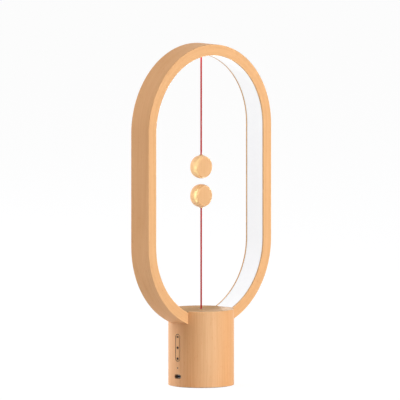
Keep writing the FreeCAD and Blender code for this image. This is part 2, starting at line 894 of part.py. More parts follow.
def chassis_screws():
    """The screws from below that hold the chassis and the ballast to the bottom plate."""
    length = "bottom_plate_thickness - screw_head_height + ballast_thickness + chassis_sheet"
    screws = [screw("foot_pad_thickness", length, x, y) for x, y in chassis_screw_places()]
    return keep("chassis_screws", group(screws))


# -------------------------------------------------------- battery and control


def battery():
    """The flat cell, with bevelled long edges, that stands against its post."""
    half = "battery_width / 2"
    body = doc.addObject("PartDesign::Body", "CellBody")
    sketch = new_sketch(body, "XY_Plane")
    near = "battery_near_x"
    far = "battery_near_x + battery_thickness"
    outline(sketch, [
        (f"{near} + battery_edge", f"-{half}"),
        (f"{far} - battery_edge", f"-{half}"),
        (far, f"battery_edge - {half}"),
        (far, f"{half} - battery_edge"),
        (f"{far} - battery_edge", half),
        (f"{near} + battery_edge", half),
        (near, f"{half} - battery_edge"),
        (near, f"battery_edge - {half}"),
    ])
    pad = body.newObject("PartDesign::Pad", "CellPad")
    pad.Profile = sketch
    bind(pad, Length="battery_height")
    bind(body, z="battery_bottom")
    body.Tip = pad
    sketch.Visibility = False
    return keep("battery_cell", body)


def battery_pad():
    """The adhesive foam between the cell and its post."""
    pad = block(("battery_face_x", "battery_near_x"),
                ("-battery_pad_width / 2", "battery_pad_width / 2"),
                ("battery_bottom", "battery_bottom + battery_pad_height"))
    return keep("battery_pad", pad)


def control_board():
    """The circuit board behind the keys."""
    board = block(("-board_face_x", "-board_back_x"), ("-board_width / 2", "board_width / 2"),
                  ("board_bottom", "board_top"))
    tools = [
        rod("screw_diameter + 2 * running_play", "2 * board_thickness",
            ("-board_face_x - board_thickness / 2", y, z), "x")
        for y, z in board_screw_places()
    ]
    return keep("control_board", without(board, tools))


def board_screws():
    """The four screws of the control board."""
    screws = [
        joined([
            rod("screw_head_diameter", "screw_head_height", ("-board_face_x", y, z), "-x"),
            rod("screw_diameter", "board_screw_length - play", ("-board_face_x", y, z), "x"),
        ])
        for y, z in board_screw_places()
    ]
    return keep("board_screws", group(screws))


def board_chips():
    """The controller and the charging coil on the back of the board."""
    half = "controller_size / 2"
    controller = block(("-board_back_x", "controller_height - board_back_x"),
                       (f"-component_spread - {half}", f"{half} - component_spread"),
                       (f"component_level - {half}", f"component_level + {half}"))
    coil = rod("coil_diameter", "coil_height",
               ("-board_back_x", "component_spread", "component_level"), "x")
    return keep("board_components", group([controller, coil]))


def board_connector(label, height_text):
    """A lead's plug and socket on the back of the board."""
    return keep(label, block(("-board_back_x", "connector_depth - board_back_x"),
                             ("-connector_width / 2", "connector_width / 2"),
                             (f"{height_text} - connector_height / 2",
                              f"{height_text} + connector_height / 2")))


def usb_socket():
    """The metal shell of the charging socket, closed at the back."""
    outside = slot_block(("-socket_mouth_x", "-board_face_x"), "socket_width", "socket_height",
                         "port_height")
    inside = slot_block(("-socket_mouth_x - 1", "-board_face_x - socket_back"),
                        "socket_width - 2 * socket_wall", "socket_height - 2 * socket_wall",
                        "port_height")
    return keep("usb_socket_shell", without(outside, [inside]))


def usb_tongue():
    """The contact tongue in the middle of the socket."""
    tongue = block(("tongue_setback - socket_mouth_x", "-board_face_x - socket_back"),
                   ("-tongue_width / 2", "tongue_width / 2"),
                   ("port_height - tongue_thickness / 2", "port_height + tongue_thickness / 2"))
    return keep("usb_socket_tongue", tongue)


def port_bezel():
    """The dark liner of the hole for the charging plug."""
    ends = ("-bezel_front_x", "bezel_length - bezel_front_x")
    outside = slot_block(ends, "port_hole_width - 2 * running_play",
                         "port_hole_height - 2 * running_play", "port_height")
    inside = slot_block(("-bezel_front_x - 1", "bezel_length + 1 - bezel_front_x"),
                        "port_hole_width - 2 * bezel_wall", "port_hole_height - 2 * bezel_wall",
                        "port_height")
    return keep("port_bezel", without(outside, [inside]))


def indicator():
    """The charge light on the board and the clear rod that carries it to the outside."""
    led = block(("-board_face_x - led_height", "-board_face_x"), ("-led_length / 2", "led_length / 2"),
                ("light_height - led_width / 2", "light_height + led_width / 2"))
    keep("indicator_led", led)
    start = "light_recess - base_radius"
    length = "base_radius - light_recess - board_face_x - led_height - play"
    lens = rod("light_diameter - 2 * running_play", length, (start, "0", "light_height"), "x")
    return keep("indicator_light_rod", lens)


# ------------------------------------------------------------------- key bar


KEYS = {"lower": -1, "middle": 0, "upper": 1}


def key_level(step):
    """Height of one of the three keys."""
    return f"key_centre_height + {step} * key_pitch"


def key_bar():
    """The wooden rocker, curved like the base, with three marked press points."""
    bar = shared(
        slot_block(("-base_radius - 1", "-key_back_x"), "key_width", "key_height",
                   "key_centre_height"),
        rod("base_diameter - 2 * key_face_recess", "base_height", ("0", "0", "0")))
    pin = rod("key_pin_diameter + 2 * running_play", "key_width + 2",
              ("-key_back_x", "-key_width / 2 - 1", "key_centre_height"), "y")
    dots = [
        rod("key_dot_diameter", "key_dot_depth + 1",
            ("-base_radius + key_face_recess - 1", "0", key_level(step)), "x")
        for step in KEYS.values()
    ]
    return keep("key_bar", without(bar, [pin] + dots))


def key_carrier():
    """The slide behind the key bar: it carries the bar on a pin and presses the domes."""
    block_width = "key_slot_width - 2 * carrier_inset"
    block_height = "key_slot_height - 2 * carrier_inset"
    flange_height = "key_slot_height + 2 * carrier_flange_lap"
    solids = [
        slot_block(("-carrier_front_x", "-flange_back_x"), block_width, block_height,
                   "key_centre_height"),
        block(("-flange_front_x", "-flange_back_x"), ("-flange_half_width", "flange_half_width"),
              (f"key_centre_height - ({flange_height}) / 2",
               f"key_centre_height + ({flange_height}) / 2")),
        rod("key_pin_diameter", "key_pin_length",
            ("-key_back_x", "-key_pin_length / 2", "key_centre_height"), "y"),
        block(("-key_back_x", "-carrier_front_x + 1"), ("-key_pin_length / 2", "key_pin_length / 2"),
              ("key_centre_height - key_neck / 2", "key_centre_height + key_neck / 2")),
    ]
    solids += [
        rod("carrier_pin_diameter", "flange_back_x - carrier_tip_x",
            ("-flange_back_x", "0", key_level(step)), "x")
        for step in KEYS.values()
    ]
    return keep("key_carrier", joined(solids))


def key_domes():
    """The three snap domes on the board."""
    for name, step in KEYS.items():
        dome = cone("dome_diameter", "dome_top_diameter", "dome_height",
                    ("-board_face_x", "0", key_level(step)), "-x")
        keep(f"key_dome_{name}", dome)


# --------------------------------------------------------------- pull switch


def bracket_screw_places():
    """Where the screws of the switch bracket stand."""
    return [
        ("-bracket_screw_spread", "-bracket_screw_reach"),
        ("bracket_screw_spread", "-bracket_screw_reach"),
        ("0", "bracket_screw_reach"),
    ]


def switch_bracket():
    """The folded sheet under the ceiling of the base that carries the switch and guides the rod."""
    half = "bracket_width / 2"
    xs = (f"-{half}", half)
    back = ("case_back", "case_back + bracket_sheet")
    solids = [
        block(xs, ("-bracket_half_span", "bracket_half_span"), ("bracket_bottom", "ceiling_height")),
        block(xs, back, ("guide_height - bracket_sheet", "ceiling_height")),
        block(xs, ("-guide_front", back[1]), ("guide_height - bracket_sheet", "guide_height")),
    ]
    hole = "rod_diameter + 2 * play"
    tools = [
        rod(hole, "bracket_sheet + 2", ("0", "0", "bracket_bottom - 1")),
        rod(hole, "bracket_sheet + 2", ("0", "0", "guide_height - bracket_sheet - 1")),
    ]
    tools += [
        rod("screw_diameter + 2 * running_play", "bracket_sheet", (x, y, "bracket_bottom"))
        for x, y in bracket_screw_places()
    ]
    return keep("switch_bracket", without(joined(solids), tools))


def bracket_screws():
    """The screws of the switch bracket."""
    screws = [
        screw("bracket_bottom - screw_head_height", "bracket_sheet + bracket_screw_bite", x, y)
        for x, y in bracket_screw_places()
    ]
    return keep("bracket_screws", group(screws))


def microswitch_case():
    """The switch's case, with two lugs below it for the lever's pin."""
    half = "case_length / 2"
    lug_bottom = "lever_mid - lever_pin_diameter"
    solids = [block((f"-{half}", half), ("case_front", "case_back"), ("case_bottom", "case_top"))]
    for start in ("case_front", "case_back - case_lug"):
        solids.append(block((f"-{half}", "lever_hinge_x + lever_pin_diameter"),
                            (start, f"{start} + case_lug"), (lug_bottom, "case_bottom + 1")))
    button_x = "lever_hinge_x + button_offset"
    tools = [
        rod("lever_pin_diameter + 2 * running_play", "case_width + 2",
            ("lever_hinge_x", "case_front - 1", "lever_mid"), "y"),
        block((f"{button_x} - button_length / 2 - play", f"{button_x} + button_length / 2 + play"),
              ("lever_middle_y - button_width / 2 - play", "lever_middle_y + button_width / 2 + play"),
              ("case_bottom - 1", "button_top + play")),
    ]
    return keep("microswitch_case", without(joined(solids), tools))


def microswitch_button():
    """The switch's push button, held in by the lever while the light is on."""
    button_x = "lever_hinge_x + button_offset"
    button = block((f"{button_x} - button_length / 2", f"{button_x} + button_length / 2"),
                   ("lever_middle_y - button_width / 2", "lever_middle_y + button_width / 2"),
                   ("button_bottom", "button_top"))
    return keep("microswitch_button", button)


def microswitch_lever():
    """The spring lever under the button, with a rolled end that turns in the lugs."""
    leaf = block(("lever_hinge_x", "lever_tip_x"),
                 ("lever_middle_y - lever_width / 2", "lever_middle_y + lever_width / 2"),
                 ("lever_bottom", "lever_top"))
    pin = rod("lever_pin_diameter", "case_width", ("lever_hinge_x", "case_front", "lever_mid"), "y")
    return keep("microswitch_lever", joined([leaf, pin]))


def pull_rod():
    """The rod that the string lifts, with the spring's seat and the arm under the lever."""
    solids = [
        rod("rod_diameter", "rod_top - rod_bottom", ("0", "0", "rod_bottom")),
        rod("collar_diameter", "striker_thickness", ("0", "0", "striker_bottom")),
        block(("striker_start", "striker_end"), ("0", "striker_reach"),
              ("striker_bottom", "striker_top")),
    ]
    socket = rod("string_diameter + 2 * running_play", "tail_insert + 1",
                 ("0", "0", "rod_top - tail_insert"))
    return keep("pull_rod", without(joined(solids), [socket]))


def return_spring():
    """The coil that pushes the rod down when the magnets let go."""
    wire = value("spring_wire")
    length = value("spring_length") - 2 * value("play") - wire
    radius = (value("spring_diameter") - wire) / 2
    start = value("striker_top + play") + wire / 2
    helix = Part.makeHelix(length / value("spring_turns"), length, radius)
    section = Part.Wire(Part.makeCircle(wire / 2, Vector(radius, 0, 0), Vector(0, 1, 0)))
    coil = Part.Wire(helix.Edges).makePipeShell([section], True, True)
    feature = doc.addObject("Part::Feature", "ReturnCoil")
    feature.Shape = coil
    feature.Placement = FreeCAD.Placement(Vector(0, 0, start), FreeCAD.Rotation())
    return keep("return_spring", feature)


# ---------------------------------------------------------- strings and balls


def upper_anchor():
    """The threaded eye in the top of the ring that the upper string hangs from."""
    start = "upper_pivot_z + upper_knot_diameter / 2 + running_play"
    return keep("upper_anchor", rod("anchor_diameter", f"upper_pivot_z + upper_knot_diameter / 2 "
                                    f"+ anchor_depth - ({start})", ("0", "0", start)))


def upper_string_and_knot():
    """The knot under the anchor and the string that hangs from it."""
    keep("upper_knot", sphere("upper_knot_diameter", ("0", "0", "upper_pivot_z")))
    bottom = "upper_ball_height + ball_radius - string_insert"
    top = "upper_pivot_z - upper_knot_diameter / 2 - knot_gap"
    keep("upper_string", rod("string_diameter", f"({top}) - ({bottom})", ("0", "0", bottom)))


def lower_string_and_knot():
    """The string that comes up through the eyelet, its bending point and its end in the base."""
    tail_bottom = "rod_top - tail_insert"
    tail_top = "lower_pivot_z - knot_diameter / 2 - knot_gap"
    keep("lower_string_tail", rod("string_diameter", f"({tail_top}) - ({tail_bottom})",
                                  ("0", "0", tail_bottom)))
    keep("lower_knot", sphere("knot_diameter", ("0", "0", "lower_pivot_z")))
    bottom = "lower_pivot_z + knot_diameter / 2 + knot_gap"
    top = "lower_ball_height - ball_radius + string_insert"
    keep("lower_string", rod("string_diameter", f"({top}) - ({bottom})", ("0", "0", bottom)))


def blank_ball(name, height_text):
    """A ball with two flats, turned about the Y axis and rounded at the edges of the flats."""
    body = doc.addObject("PartDesign::Body", name)
    sketch = new_sketch(body, "XY_Plane")
    radius = value("ball_radius")
    half = value("ball_thickness / 2")
    flat = math.sqrt(radius ** 2 - half ** 2)
    angle = math.asin(half / radius)
    rim = sketch.addGeometry(
        Part.ArcOfCircle(Part.Circle(Vector(), Vector(0, 0, 1), radius), -angle, angle), False)
    top = sketch.addGeometry(Part.LineSegment(Vector(flat, half, 0), Vector(0, half, 0)), False)
    core = sketch.addGeometry(Part.LineSegment(Vector(0, half, 0), Vector(0, -half, 0)), False)
    bottom = sketch.addGeometry(Part.LineSegment(Vector(0, -half, 0), Vector(flat, -half, 0)), False)
    constrain(sketch, "Coincident", (rim, 2), (top, 1))
    constrain(sketch, "Coincident", (top, 2), (core, 1))
    constrain(sketch, "Coincident", (core, 2), (bottom, 1))
    constrain(sketch, "Coincident", (bottom, 2), (rim, 1))
    constrain(sketch, "Coincident", (rim, 3), (-1, 1))
    constrain(sketch, "Radius", (rim,), (), "ball_radius")
    place_point(sketch, core, 1, "0", "ball_thickness / 2")
    place_point(sketch, core, 2, "0", "-ball_thickness / 2")
    sketch.addConstraint(Sketcher.Constraint("Horizontal", top))
    sketch.addConstraint(Sketcher.Constraint("Horizontal", bottom))
    feature = body.newObject("PartDesign::Revolution", f"{name}Turn")
    feature.Profile = sketch
    feature.ReferenceAxis = (sketch, ["V_Axis"])
    feature.Angle = 360
    sketch.Visibility = False
    body.Tip = feature
    doc.recompute()
    round_edges(body, "ball_edge_round", lambda edge: lies_at_y(edge, half) and edge.Length > half)
    bind(body, z=height_text)
    return body


def ball_set(name, height_text, sign):
    """One ball with its magnet, the plug over it and the ferrule that grips the string.

    The magnet faces the other ball. The sign is +1 where that is up and -1 where it is down.
    """
    side = "" if sign > 0 else "-"
    facing = "z" if sign > 0 else "-z"
    away = "-z" if sign > 0 else "z"

    def level(text):
        return f"{height_text} + {side}1 * ({text})"

    bore = "magnet_diameter + 2 * running_play"
    seat = level("ball_radius - magnet_cover - magnet_length - running_play")
    magnet_start = level("ball_radius - magnet_cover - magnet_length")
    plug_start = level("ball_radius - magnet_cover + running_play")
    string_side = level("-ball_radius")
    flange_start = level("-ball_radius - ferrule_flange_thickness")
    tube_bore = "string_diameter + 2 * running_play"

    ball_tools = [
        rod(bore, "magnet_cover + magnet_length + 2", ("0", "0", seat), facing),
        rod("ferrule_diameter + 2 * running_play", "ferrule_depth + 1",
            ("0", "0", level("-ball_radius - 1 + play")), facing),
        rod("ferrule_flange + 2 * running_play", "ferrule_flange_thickness + 1",
            ("0", "0", level("running_play - ball_radius - 1")), facing),
    ]
    keep(f"{name}_ball", without(blank_ball(f"{name.title()}Ball", height_text), ball_tools))
    keep(f"{name}_magnet", rod("magnet_diameter", "magnet_length", ("0", "0", magnet_start), facing))
    plug = shared(rod("magnet_diameter", "magnet_cover", ("0", "0", plug_start), facing),
                  sphere("ball_diameter", ("0", "0", height_text)))
    keep(f"{name}_plug", plug)
    ferrule = joined([
        rod("ferrule_diameter", "ferrule_depth", ("0", "0", string_side), facing),
        rod("ferrule_flange", "ferrule_flange_thickness", ("0", "0", flange_start), facing),
    ])
    bore_hole = rod(tube_bore, "string_insert + ferrule_flange_thickness + 1 + play",
                    ("0", "0", level("string_insert + play - ball_radius")), away)
    keep(f"{name}_ferrule", without(ferrule, [bore_hole]))


# -------------------------------------------------------------- inside leads


def lead(label, points):
    """A lead along straight runs joined by arcs as large as the runs allow."""
    corners = [Vector(*(value(text) for text in point)) for point in points]
    edges = []
    start = corners[0]
    for i in range(1, len(corners) - 1):
        before = corners[i] - corners[i - 1]
        after = corners[i + 1] - corners[i]
        turn = before.getAngle(after)
        trim = 0.45 * min(before.Length, after.Length)
        print(f"{label}: bend {i} radius {trim / math.tan(turn / 2):.1f}")
        arc_start = corners[i] - before.normalize() * trim
        arc_end = corners[i] + after.normalize() * trim
        radius = trim / math.tan(turn / 2)
        inward = (after - before).normalize()
        middle = corners[i] + inward * (math.hypot(trim, radius) - radius)
        edges.append(Part.LineSegment(start, arc_start).toShape())
        edges.append(Part.Arc(arc_start, middle, arc_end).toShape())
        start = arc_end
    edges.append(Part.LineSegment(start, corners[-1]).toShape())
    path = Part.Wire(edges)
    radius = value("lead_diameter / 2")
    section = Part.Wire(Part.makeCircle(radius, corners[0], corners[1] - corners[0]))
    tube = path.makePipeShell([section], True, True)
    expected = math.pi * radius ** 2 * path.Length
    if abs(tube.Volume - expected) > 0.03 * expected:
        raise RuntimeError(f"{label}: volume {tube.Volume:.1f}, not {expected:.1f}")
    feature = doc.addObject("Part::Feature", label.title().replace("_", ""))
    feature.Shape = tube
    return keep(label, feature)


def inside_leads():
    """The leads of the strip, the switch and the battery, each to its own connector."""
    plug_x = "connector_depth - board_back_x"
    channel_level = "ring_bottom + band_thickness - channel_depth + 4.3"
    lead("strip_lead", [
        ("strip_opening / 2 + 2", "0", channel_level),
        ("lead_hole_x", "0", channel_level),
        ("lead_hole_x", "0", "ceiling_height - 4"),
        ("battery_near_x - lead_room", "-9", "ceiling_height - 9"),
        ("1", "-13", "strip_connector_height + 3"),
        ("-9", "-10", "strip_connector_height + 1"),
        ("-13", "-1", "strip_connector_height"),
        (plug_x, "-1", "strip_connector_height"),
    ])
    exit_level = "case_top - case_height / 2"
    lead("switch_lead", [
        ("-case_length / 2", "lever_middle_y", exit_level),
        ("-case_length / 2 - 5", "lever_middle_y", exit_level),
        ("-case_length / 2 - 7", "6", f"{exit_level} - 6"),
        ("-case_length / 2 - 7.5", "3", "switch_connector_height + 10"),
        ("-case_length / 2 - 6.5", "0", "switch_connector_height"),
        (plug_x, "0", "switch_connector_height"),
    ])
    cell_x = "battery_near_x + battery_thickness / 2"
    cell_top = "battery_bottom + battery_height"
    lead("battery_lead", [
        (cell_x, "6", cell_top),
        (cell_x, "6", f"{cell_top} + 4"),
        (f"{cell_x} - 6", "13", f"{cell_top} + 3"),
        ("4", "17", f"{cell_top} - 4"),
        ("-6", "15", "battery_connector_height + 20"),
        ("-11", "8", "battery_connector_height + 9"),
        ("-13", "0", "battery_connector_height"),
        (plug_x, "0", "battery_connector_height"),
    ])


# ------------------------------------------------------------------ assembly


def build():
    """Make every sub-part."""
    fill_sheet()
    ring_frame()
    led_strip()
    led_chips()
    diffuser()
    upper_anchor()
    base_shell()
    base_top_cap()
    base_eyelet()
    ring_screws()
    bottom_plate()
    bottom_screws()
    threaded_inserts()
    foot_pad()
    ballast_disc()
    chassis()
    chassis_screws()
    battery()
    battery_pad()
    control_board()
    board_screws()
    board_chips()
    board_connector("strip_connector", "strip_connector_height")
    board_connector("switch_connector", "switch_connector_height")
    board_connector("battery_connector", "battery_connector_height")
    usb_socket()
    usb_tongue()
    port_bezel()
    indicator()
    key_bar()
    key_carrier()
    key_domes()
    switch_bracket()
    bracket_screws()
    microswitch_case()
    microswitch_button()
    microswitch_lever()
    pull_rod()
    return_spring()
    upper_string_and_knot()
    lower_string_and_knot()
    ball_set("upper", "upper_ball_height", -1)
    ball_set("lower", "lower_ball_height", 1)
    inside_leads()
    doc.recompute()


def check():
    """Stop when an object failed or a sub-part has no valid shape."""
    for obj in doc.Objects:
        if {"Invalid", "Error"} & set(obj.State):
            raise RuntimeError(f"{obj.Name} ({obj.Label}): {obj.State}")
    for part in parts:
        if part.Shape.isNull() or not part.Shape.isValid() or not part.Shape.Solids:
            raise RuntimeError(f"{part.Label}: no valid shape")


def export():
    """Write each sub-part to its own file."""
    os.makedirs("parts", exist_ok=True)
    for part in parts:
        part.Shape.exportStep(f"parts/{part.Label}.step")
        print(f"{part.Label}: {len(part.Shape.Solids)} solid(s), {part.Shape.Volume:.1f} mm3")


build()
check()
export()
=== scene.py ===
"""Looks of the magnetic balance lamp: finishes, twisted strings, marks and the studio round it."""

import json
import logging
import math
from collections.abc import Callable, Sequence
from dataclasses import dataclass
from enum import Enum

import bpy
import numpy as np
from mathutils import Euler, Matrix, Vector


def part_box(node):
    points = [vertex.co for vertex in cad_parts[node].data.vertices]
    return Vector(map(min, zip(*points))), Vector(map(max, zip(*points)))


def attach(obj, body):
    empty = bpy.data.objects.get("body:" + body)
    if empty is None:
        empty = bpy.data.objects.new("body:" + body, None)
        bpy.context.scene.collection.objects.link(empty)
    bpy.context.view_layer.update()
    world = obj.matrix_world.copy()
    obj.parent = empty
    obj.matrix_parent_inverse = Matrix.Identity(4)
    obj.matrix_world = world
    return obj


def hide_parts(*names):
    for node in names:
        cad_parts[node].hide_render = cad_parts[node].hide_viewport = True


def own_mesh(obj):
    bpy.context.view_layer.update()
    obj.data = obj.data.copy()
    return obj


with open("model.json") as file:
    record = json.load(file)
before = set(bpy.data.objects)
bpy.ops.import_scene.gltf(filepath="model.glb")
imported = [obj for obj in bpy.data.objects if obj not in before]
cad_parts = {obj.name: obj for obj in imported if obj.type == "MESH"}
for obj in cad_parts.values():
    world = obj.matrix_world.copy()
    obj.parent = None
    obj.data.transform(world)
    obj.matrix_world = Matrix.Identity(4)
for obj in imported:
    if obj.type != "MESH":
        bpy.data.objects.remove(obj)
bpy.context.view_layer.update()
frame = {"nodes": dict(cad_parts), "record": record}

LOG = logging.getLogger("balance_lamp")
MM = 0.001
FULL_TURN = 2.0 * math.pi
Triple = tuple[float, float, float]
Colour = Triple
Socket = bpy.types.NodeSocket
Value = float | Sequence[float] | Socket
WHITE = (1.0, 1.0, 1.0)
COOL = (1.0, 0.985, 1.13)

# The ring: levels of the centres of its two arcs, and radii from them.
ARC_LOW = 0.16805
ARC_HIGH = 0.30075
LIP_RADIUS = 0.08705
COVER_RADIUS = 0.08735
GRAIN_RADIUS = 0.09315


# ---- shader graphs


@dataclass(frozen=True)
class Fibres:
    """Noise for fibres: the share of Z that it keeps, its cells per metre and its finer layers."""

    along: float
    scale: float
    detail: float


class Graph:
    """A shader node tree, filled by short calls."""

    def __init__(self, tree: bpy.types.NodeTree) -> None:
        """Start on a tree.

        Args:
            tree: The tree that the nodes go into.
        """
        self.tree = tree

    def feed(self, socket: Socket, value: Value) -> None:
        """Set an input socket, or link it.

        Args:
            socket: The input.
            value: A number, a colour or vector, or another node's output.
        """
        if isinstance(value, Socket):
            self.tree.links.new(value, socket)
        elif socket.type == "RGBA":
            socket.default_value = (*value, 1.0)[:4]
        else:
            socket.default_value = value

    def node(self, kind: str, inputs: dict[str | int, Value] | None = None,
             **settings: object) -> bpy.types.Node:
        """Add a node.

        Args:
            kind: The node's type name without its prefix.
            inputs: Values for its inputs, by name or number.
            **settings: Its own properties.

        Returns:
            The new node.
        """
        made = self.tree.nodes.new(f"ShaderNode{kind}")
        for name, setting in settings.items():
            setattr(made, name, setting)
        for name, value in (inputs or {}).items():
            self.feed(made.inputs[name], value)
        return made

    def math(self, operation: str, *values: Value, clamp: bool = False) -> Socket:
        """One arithmetic step.

        Args:
            operation: The Math node's operation.
            *values: Its operands.
            clamp: Whether the result is kept between 0 and 1.

        Returns:
            The result.
        """
        made = self.node("Math", dict(enumerate(values)), operation=operation, use_clamp=clamp)
        return made.outputs[0]

    def parts(self, vector: Value) -> list[Socket]:
        """The X, Y and Z of a vector."""
        return list(self.node("SeparateXYZ", {0: vector}).outputs)

    def vector(self, x: Value, y: Value, z: Value) -> Socket:
        """A vector from its X, Y and Z."""
        return self.node("CombineXYZ", {0: x, 1: y, 2: z}).outputs[0]

    def stretched(self, vector: Value, scale: Sequence[float],
                  offset: Sequence[float] = (0.0, 0.0, 0.0)) -> Socket:
        """A vector scaled along each axis and then moved.

        Args:
            vector: What to scale.
            scale: A factor for each axis.
            offset: What is added afterwards.

        Returns:
            The new vector.
        """
        made = self.node("VectorMath", {0: vector, 1: scale, 2: offset}, operation="MULTIPLY_ADD")
        return made.outputs[0]

    def hypotenuse(self, x: Value, y: Value) -> Socket:
        """The length of the hypotenuse over two sides."""
        squares = self.math("ADD", self.math("MULTIPLY", x, x), self.math("MULTIPLY", y, y))
        return self.math("SQRT", squares)

    def eased(self, start: Value, amount: Value, change: Value) -> Socket:
        """A start value plus an amount times a change."""
        return self.math("MULTIPLY_ADD", amount, change, start)

    def noise(self, vector: Value, scale: Value, detail: float = 2.0) -> Socket:
        """Smooth noise between 0 and 1.

        Args:
            vector: Where it is read.
            scale: Cells per metre.
            detail: How many finer layers it has.

        Returns:
            The noise value.
        """
        made = self.node("TexNoise", {"Vector": vector, "Scale": scale, "Detail": detail})
        return made.outputs[0]

    def fibres(self, vector: Value, run: Fibres) -> Socket:
        """Noise that is drawn out along Z."""
        return self.noise(self.stretched(vector, (1.0, 1.0, run.along)), run.scale, run.detail)

    def between(self, value: Value, low: float, high: float) -> Socket:
        """A smooth step from 0 at low to 1 at high."""
        made = self.node("MapRange", {"Value": value, "From Min": low, "From Max": high},
                         interpolation_type="SMOOTHSTEP")
        return made.outputs[0]

    def mixed(self, factor: Value, first: Value, second: Value,
              blend: str = "MIX") -> Socket:
        """Two colours mixed.

        Args:
            factor: Share of the second.
            first: The first colour.
            second: The second colour.
            blend: The Mix node's blend type.

        Returns:
            The mixed colour.
        """
        made = self.node("Mix", {0: factor, 6: first, 7: second}, data_type="RGBA",
                         blend_type=blend)
        return made.outputs[2]

    def group(self, tree: bpy.types.NodeTree, inputs: dict[str, Value]) -> bpy.types.Node:
        """Place a node group and feed its inputs."""
        return self.node("Group", inputs, node_tree=tree)


def empty_graph(owner: bpy.types.Material | bpy.types.World) -> Graph:
    """Empty the node tree of a material or a world.

    Args:
        owner: The material or world.

    Returns:
        Its graph.
    """
    owner.use_nodes = True
    owner.node_tree.nodes.clear()
    return Graph(owner.node_tree)


def put(name: str, data: bpy.types.ID) -> bpy.types.Object:
    """Put a new object into the scene.

    Args:
        name: Its name.
        data: Its mesh, curve, lamp or camera.

    Returns:
        The object.
    """
    made = bpy.data.objects.new(name, data)
    bpy.context.scene.collection.objects.link(made)
    return made


def new_group(name: str, inputs: dict[str, str], outputs: dict[str, str],
              fill: Callable[[Graph, Sequence[Socket]], Sequence[Value]]
              ) -> bpy.types.NodeTree:
    """Make a node group with named inputs and outputs.

    Args:
        name: The group's name.
        inputs: Socket type of each input, by name.
        outputs: Socket type of each output, by name.
        fill: Adds the nodes; it gets the inputs and returns a value for each output.

    Returns:
        The group's tree.
    """
    tree = bpy.data.node_groups.new(name, "ShaderNodeTree")
    for direction, sockets in (("INPUT", inputs), ("OUTPUT", outputs)):
        for label, kind in sockets.items():
            tree.interface.new_socket(name=label, in_out=direction, socket_type=f"NodeSocket{kind}")
    graph = Graph(tree)
    start = tree.nodes.new("NodeGroupInput")
    end = tree.nodes.new("NodeGroupOutput")
    for socket, value in zip(end.inputs, fill(graph, list(start.outputs)[:len(inputs)])):
        graph.feed(socket, value)
    return tree


SLOW_DRIFT = Fibres(0.14, 26.0, 1.0)
BROAD_STREAKS = Fibres(0.05, 140.0, 2.0)
FINE_STREAKS = Fibres(0.022, 900.0, 3.0)
SPECKS = Fibres(0.12, 1500.0, 0.0)
PITH_X, PITH_Y = -0.085, 0.045
LATE_WOOD_POWER = 1.6
LATE_WOOD_END = 0.9
RINGS_IN_TONE = 0.2
STREAKS_IN_TONE = 0.55
MIDDLE = (0.3, 0.7)
FLECK_EDGE = (0.74, 0.8)
END_GRAIN_EDGE = (0.75, 0.97)
CLOUD_SCALE_SHARE = 0.12
CLOUD_DETAIL = 3.0
FIBRE_SLOPE = 1.35
FIBRES_ROUND = 7.0
FIBRES_ALONG = 1.2
CROWN_EDGE = (0.0, 0.55)


def fill_wood(g: Graph, given: Sequence[Socket]) -> Sequence[Value]:
    """Beech: growth rings round a distant pith, broad redder zones, fibre streaks and dark flecks.

    A point's ring number is its distance from the pith, wandered by slow noise, over the spacing.
    The zones are a cosine of the same distance; on the base they fall on the side that the lamps
    light least, as painted shade. Fibres and flecks are noise squeezed across the grain, which
    runs along Z.

    Args:
        g: The group's graph.
        given: Place, ring spacing, wander, fibre share, zone start and zone width.

    Returns:
        Tone, fleck mask, height and zone mask; the zone carries painted shade on the base.
    """
    place, spacing, wander, fibre, zone_start, zone_width = given
    drift = g.math("SUBTRACT", g.fibres(place, SLOW_DRIFT), 0.5)
    x, y, _ = g.parts(place)
    away = g.hypotenuse(g.math("SUBTRACT", x, PITH_X), g.math("SUBTRACT", y, PITH_Y))
    away = g.eased(away, drift, wander)
    ring = g.math("FRACT", g.math("DIVIDE", away, spacing))
    phase = g.math("DIVIDE", g.math("SUBTRACT", away, zone_start), zone_width)
    wave = g.math("COSINE", g.math("MULTIPLY", phase, FULL_TURN))
    tone_and_shade_zone = g.eased(0.5, wave, 0.5)
    rise = g.math("POWER", ring, LATE_WOOD_POWER)
    fall = g.math("SUBTRACT", 1.0, g.between(ring, LATE_WOOD_END, 1.0))
    rings = g.math("MULTIPLY", rise, fall)
    streaks = g.fibres(place, FINE_STREAKS)
    broad = g.math("MULTIPLY", g.fibres(place, BROAD_STREAKS), STREAKS_IN_TONE)
    grain = g.math("MULTIPLY", g.math("SUBTRACT", g.between(streaks, *MIDDLE), 0.5), fibre)
    tone = g.math("ADD", g.eased(broad, rings, RINGS_IN_TONE), grain, clamp=True)
    fleck = g.between(g.fibres(place, SPECKS), *FLECK_EDGE)
    height = g.math("SUBTRACT", g.math("MULTIPLY", streaks, 0.5), fleck)
    return tone, fleck, height, tone_and_shade_zone


def fill_band(g: Graph, given: Sequence[Socket]) -> Sequence[Value]:
    """Coordinates that follow the stadium-shaped band: out from its core, across it and along.

    The core is the upright line between the two arc centres. The length along the band is the
    height of the nearest core point plus the arc's angle above the level times its radius.

    Args:
        g: The group's graph.
        given: Place, level of the lower and of the upper arc's centre, and radius.

    Returns:
        The new place.
    """
    place, low, high, radius = given
    x, y, z = g.parts(place)
    core = g.math("MINIMUM", g.math("MAXIMUM", z, low), high)
    rise = g.math("SUBTRACT", z, core)
    turn = g.math("ARCTAN2", rise, g.math("ABSOLUTE", x))
    return (g.vector(g.hypotenuse(x, rise), y, g.eased(core, turn, radius)),)


def fill_end_grain(g: Graph, given: Sequence[Socket]) -> Sequence[Value]:
    """1 where a face looks along the grain, which is Z, and 0 where it looks across it.

    Args:
        g: The group's graph.
        given: The face's normal.

    Returns:
        The mask.
    """
    _, _, z = g.parts(given[0])
    return (g.between(g.math("ABSOLUTE", z), *END_GRAIN_EDGE),)


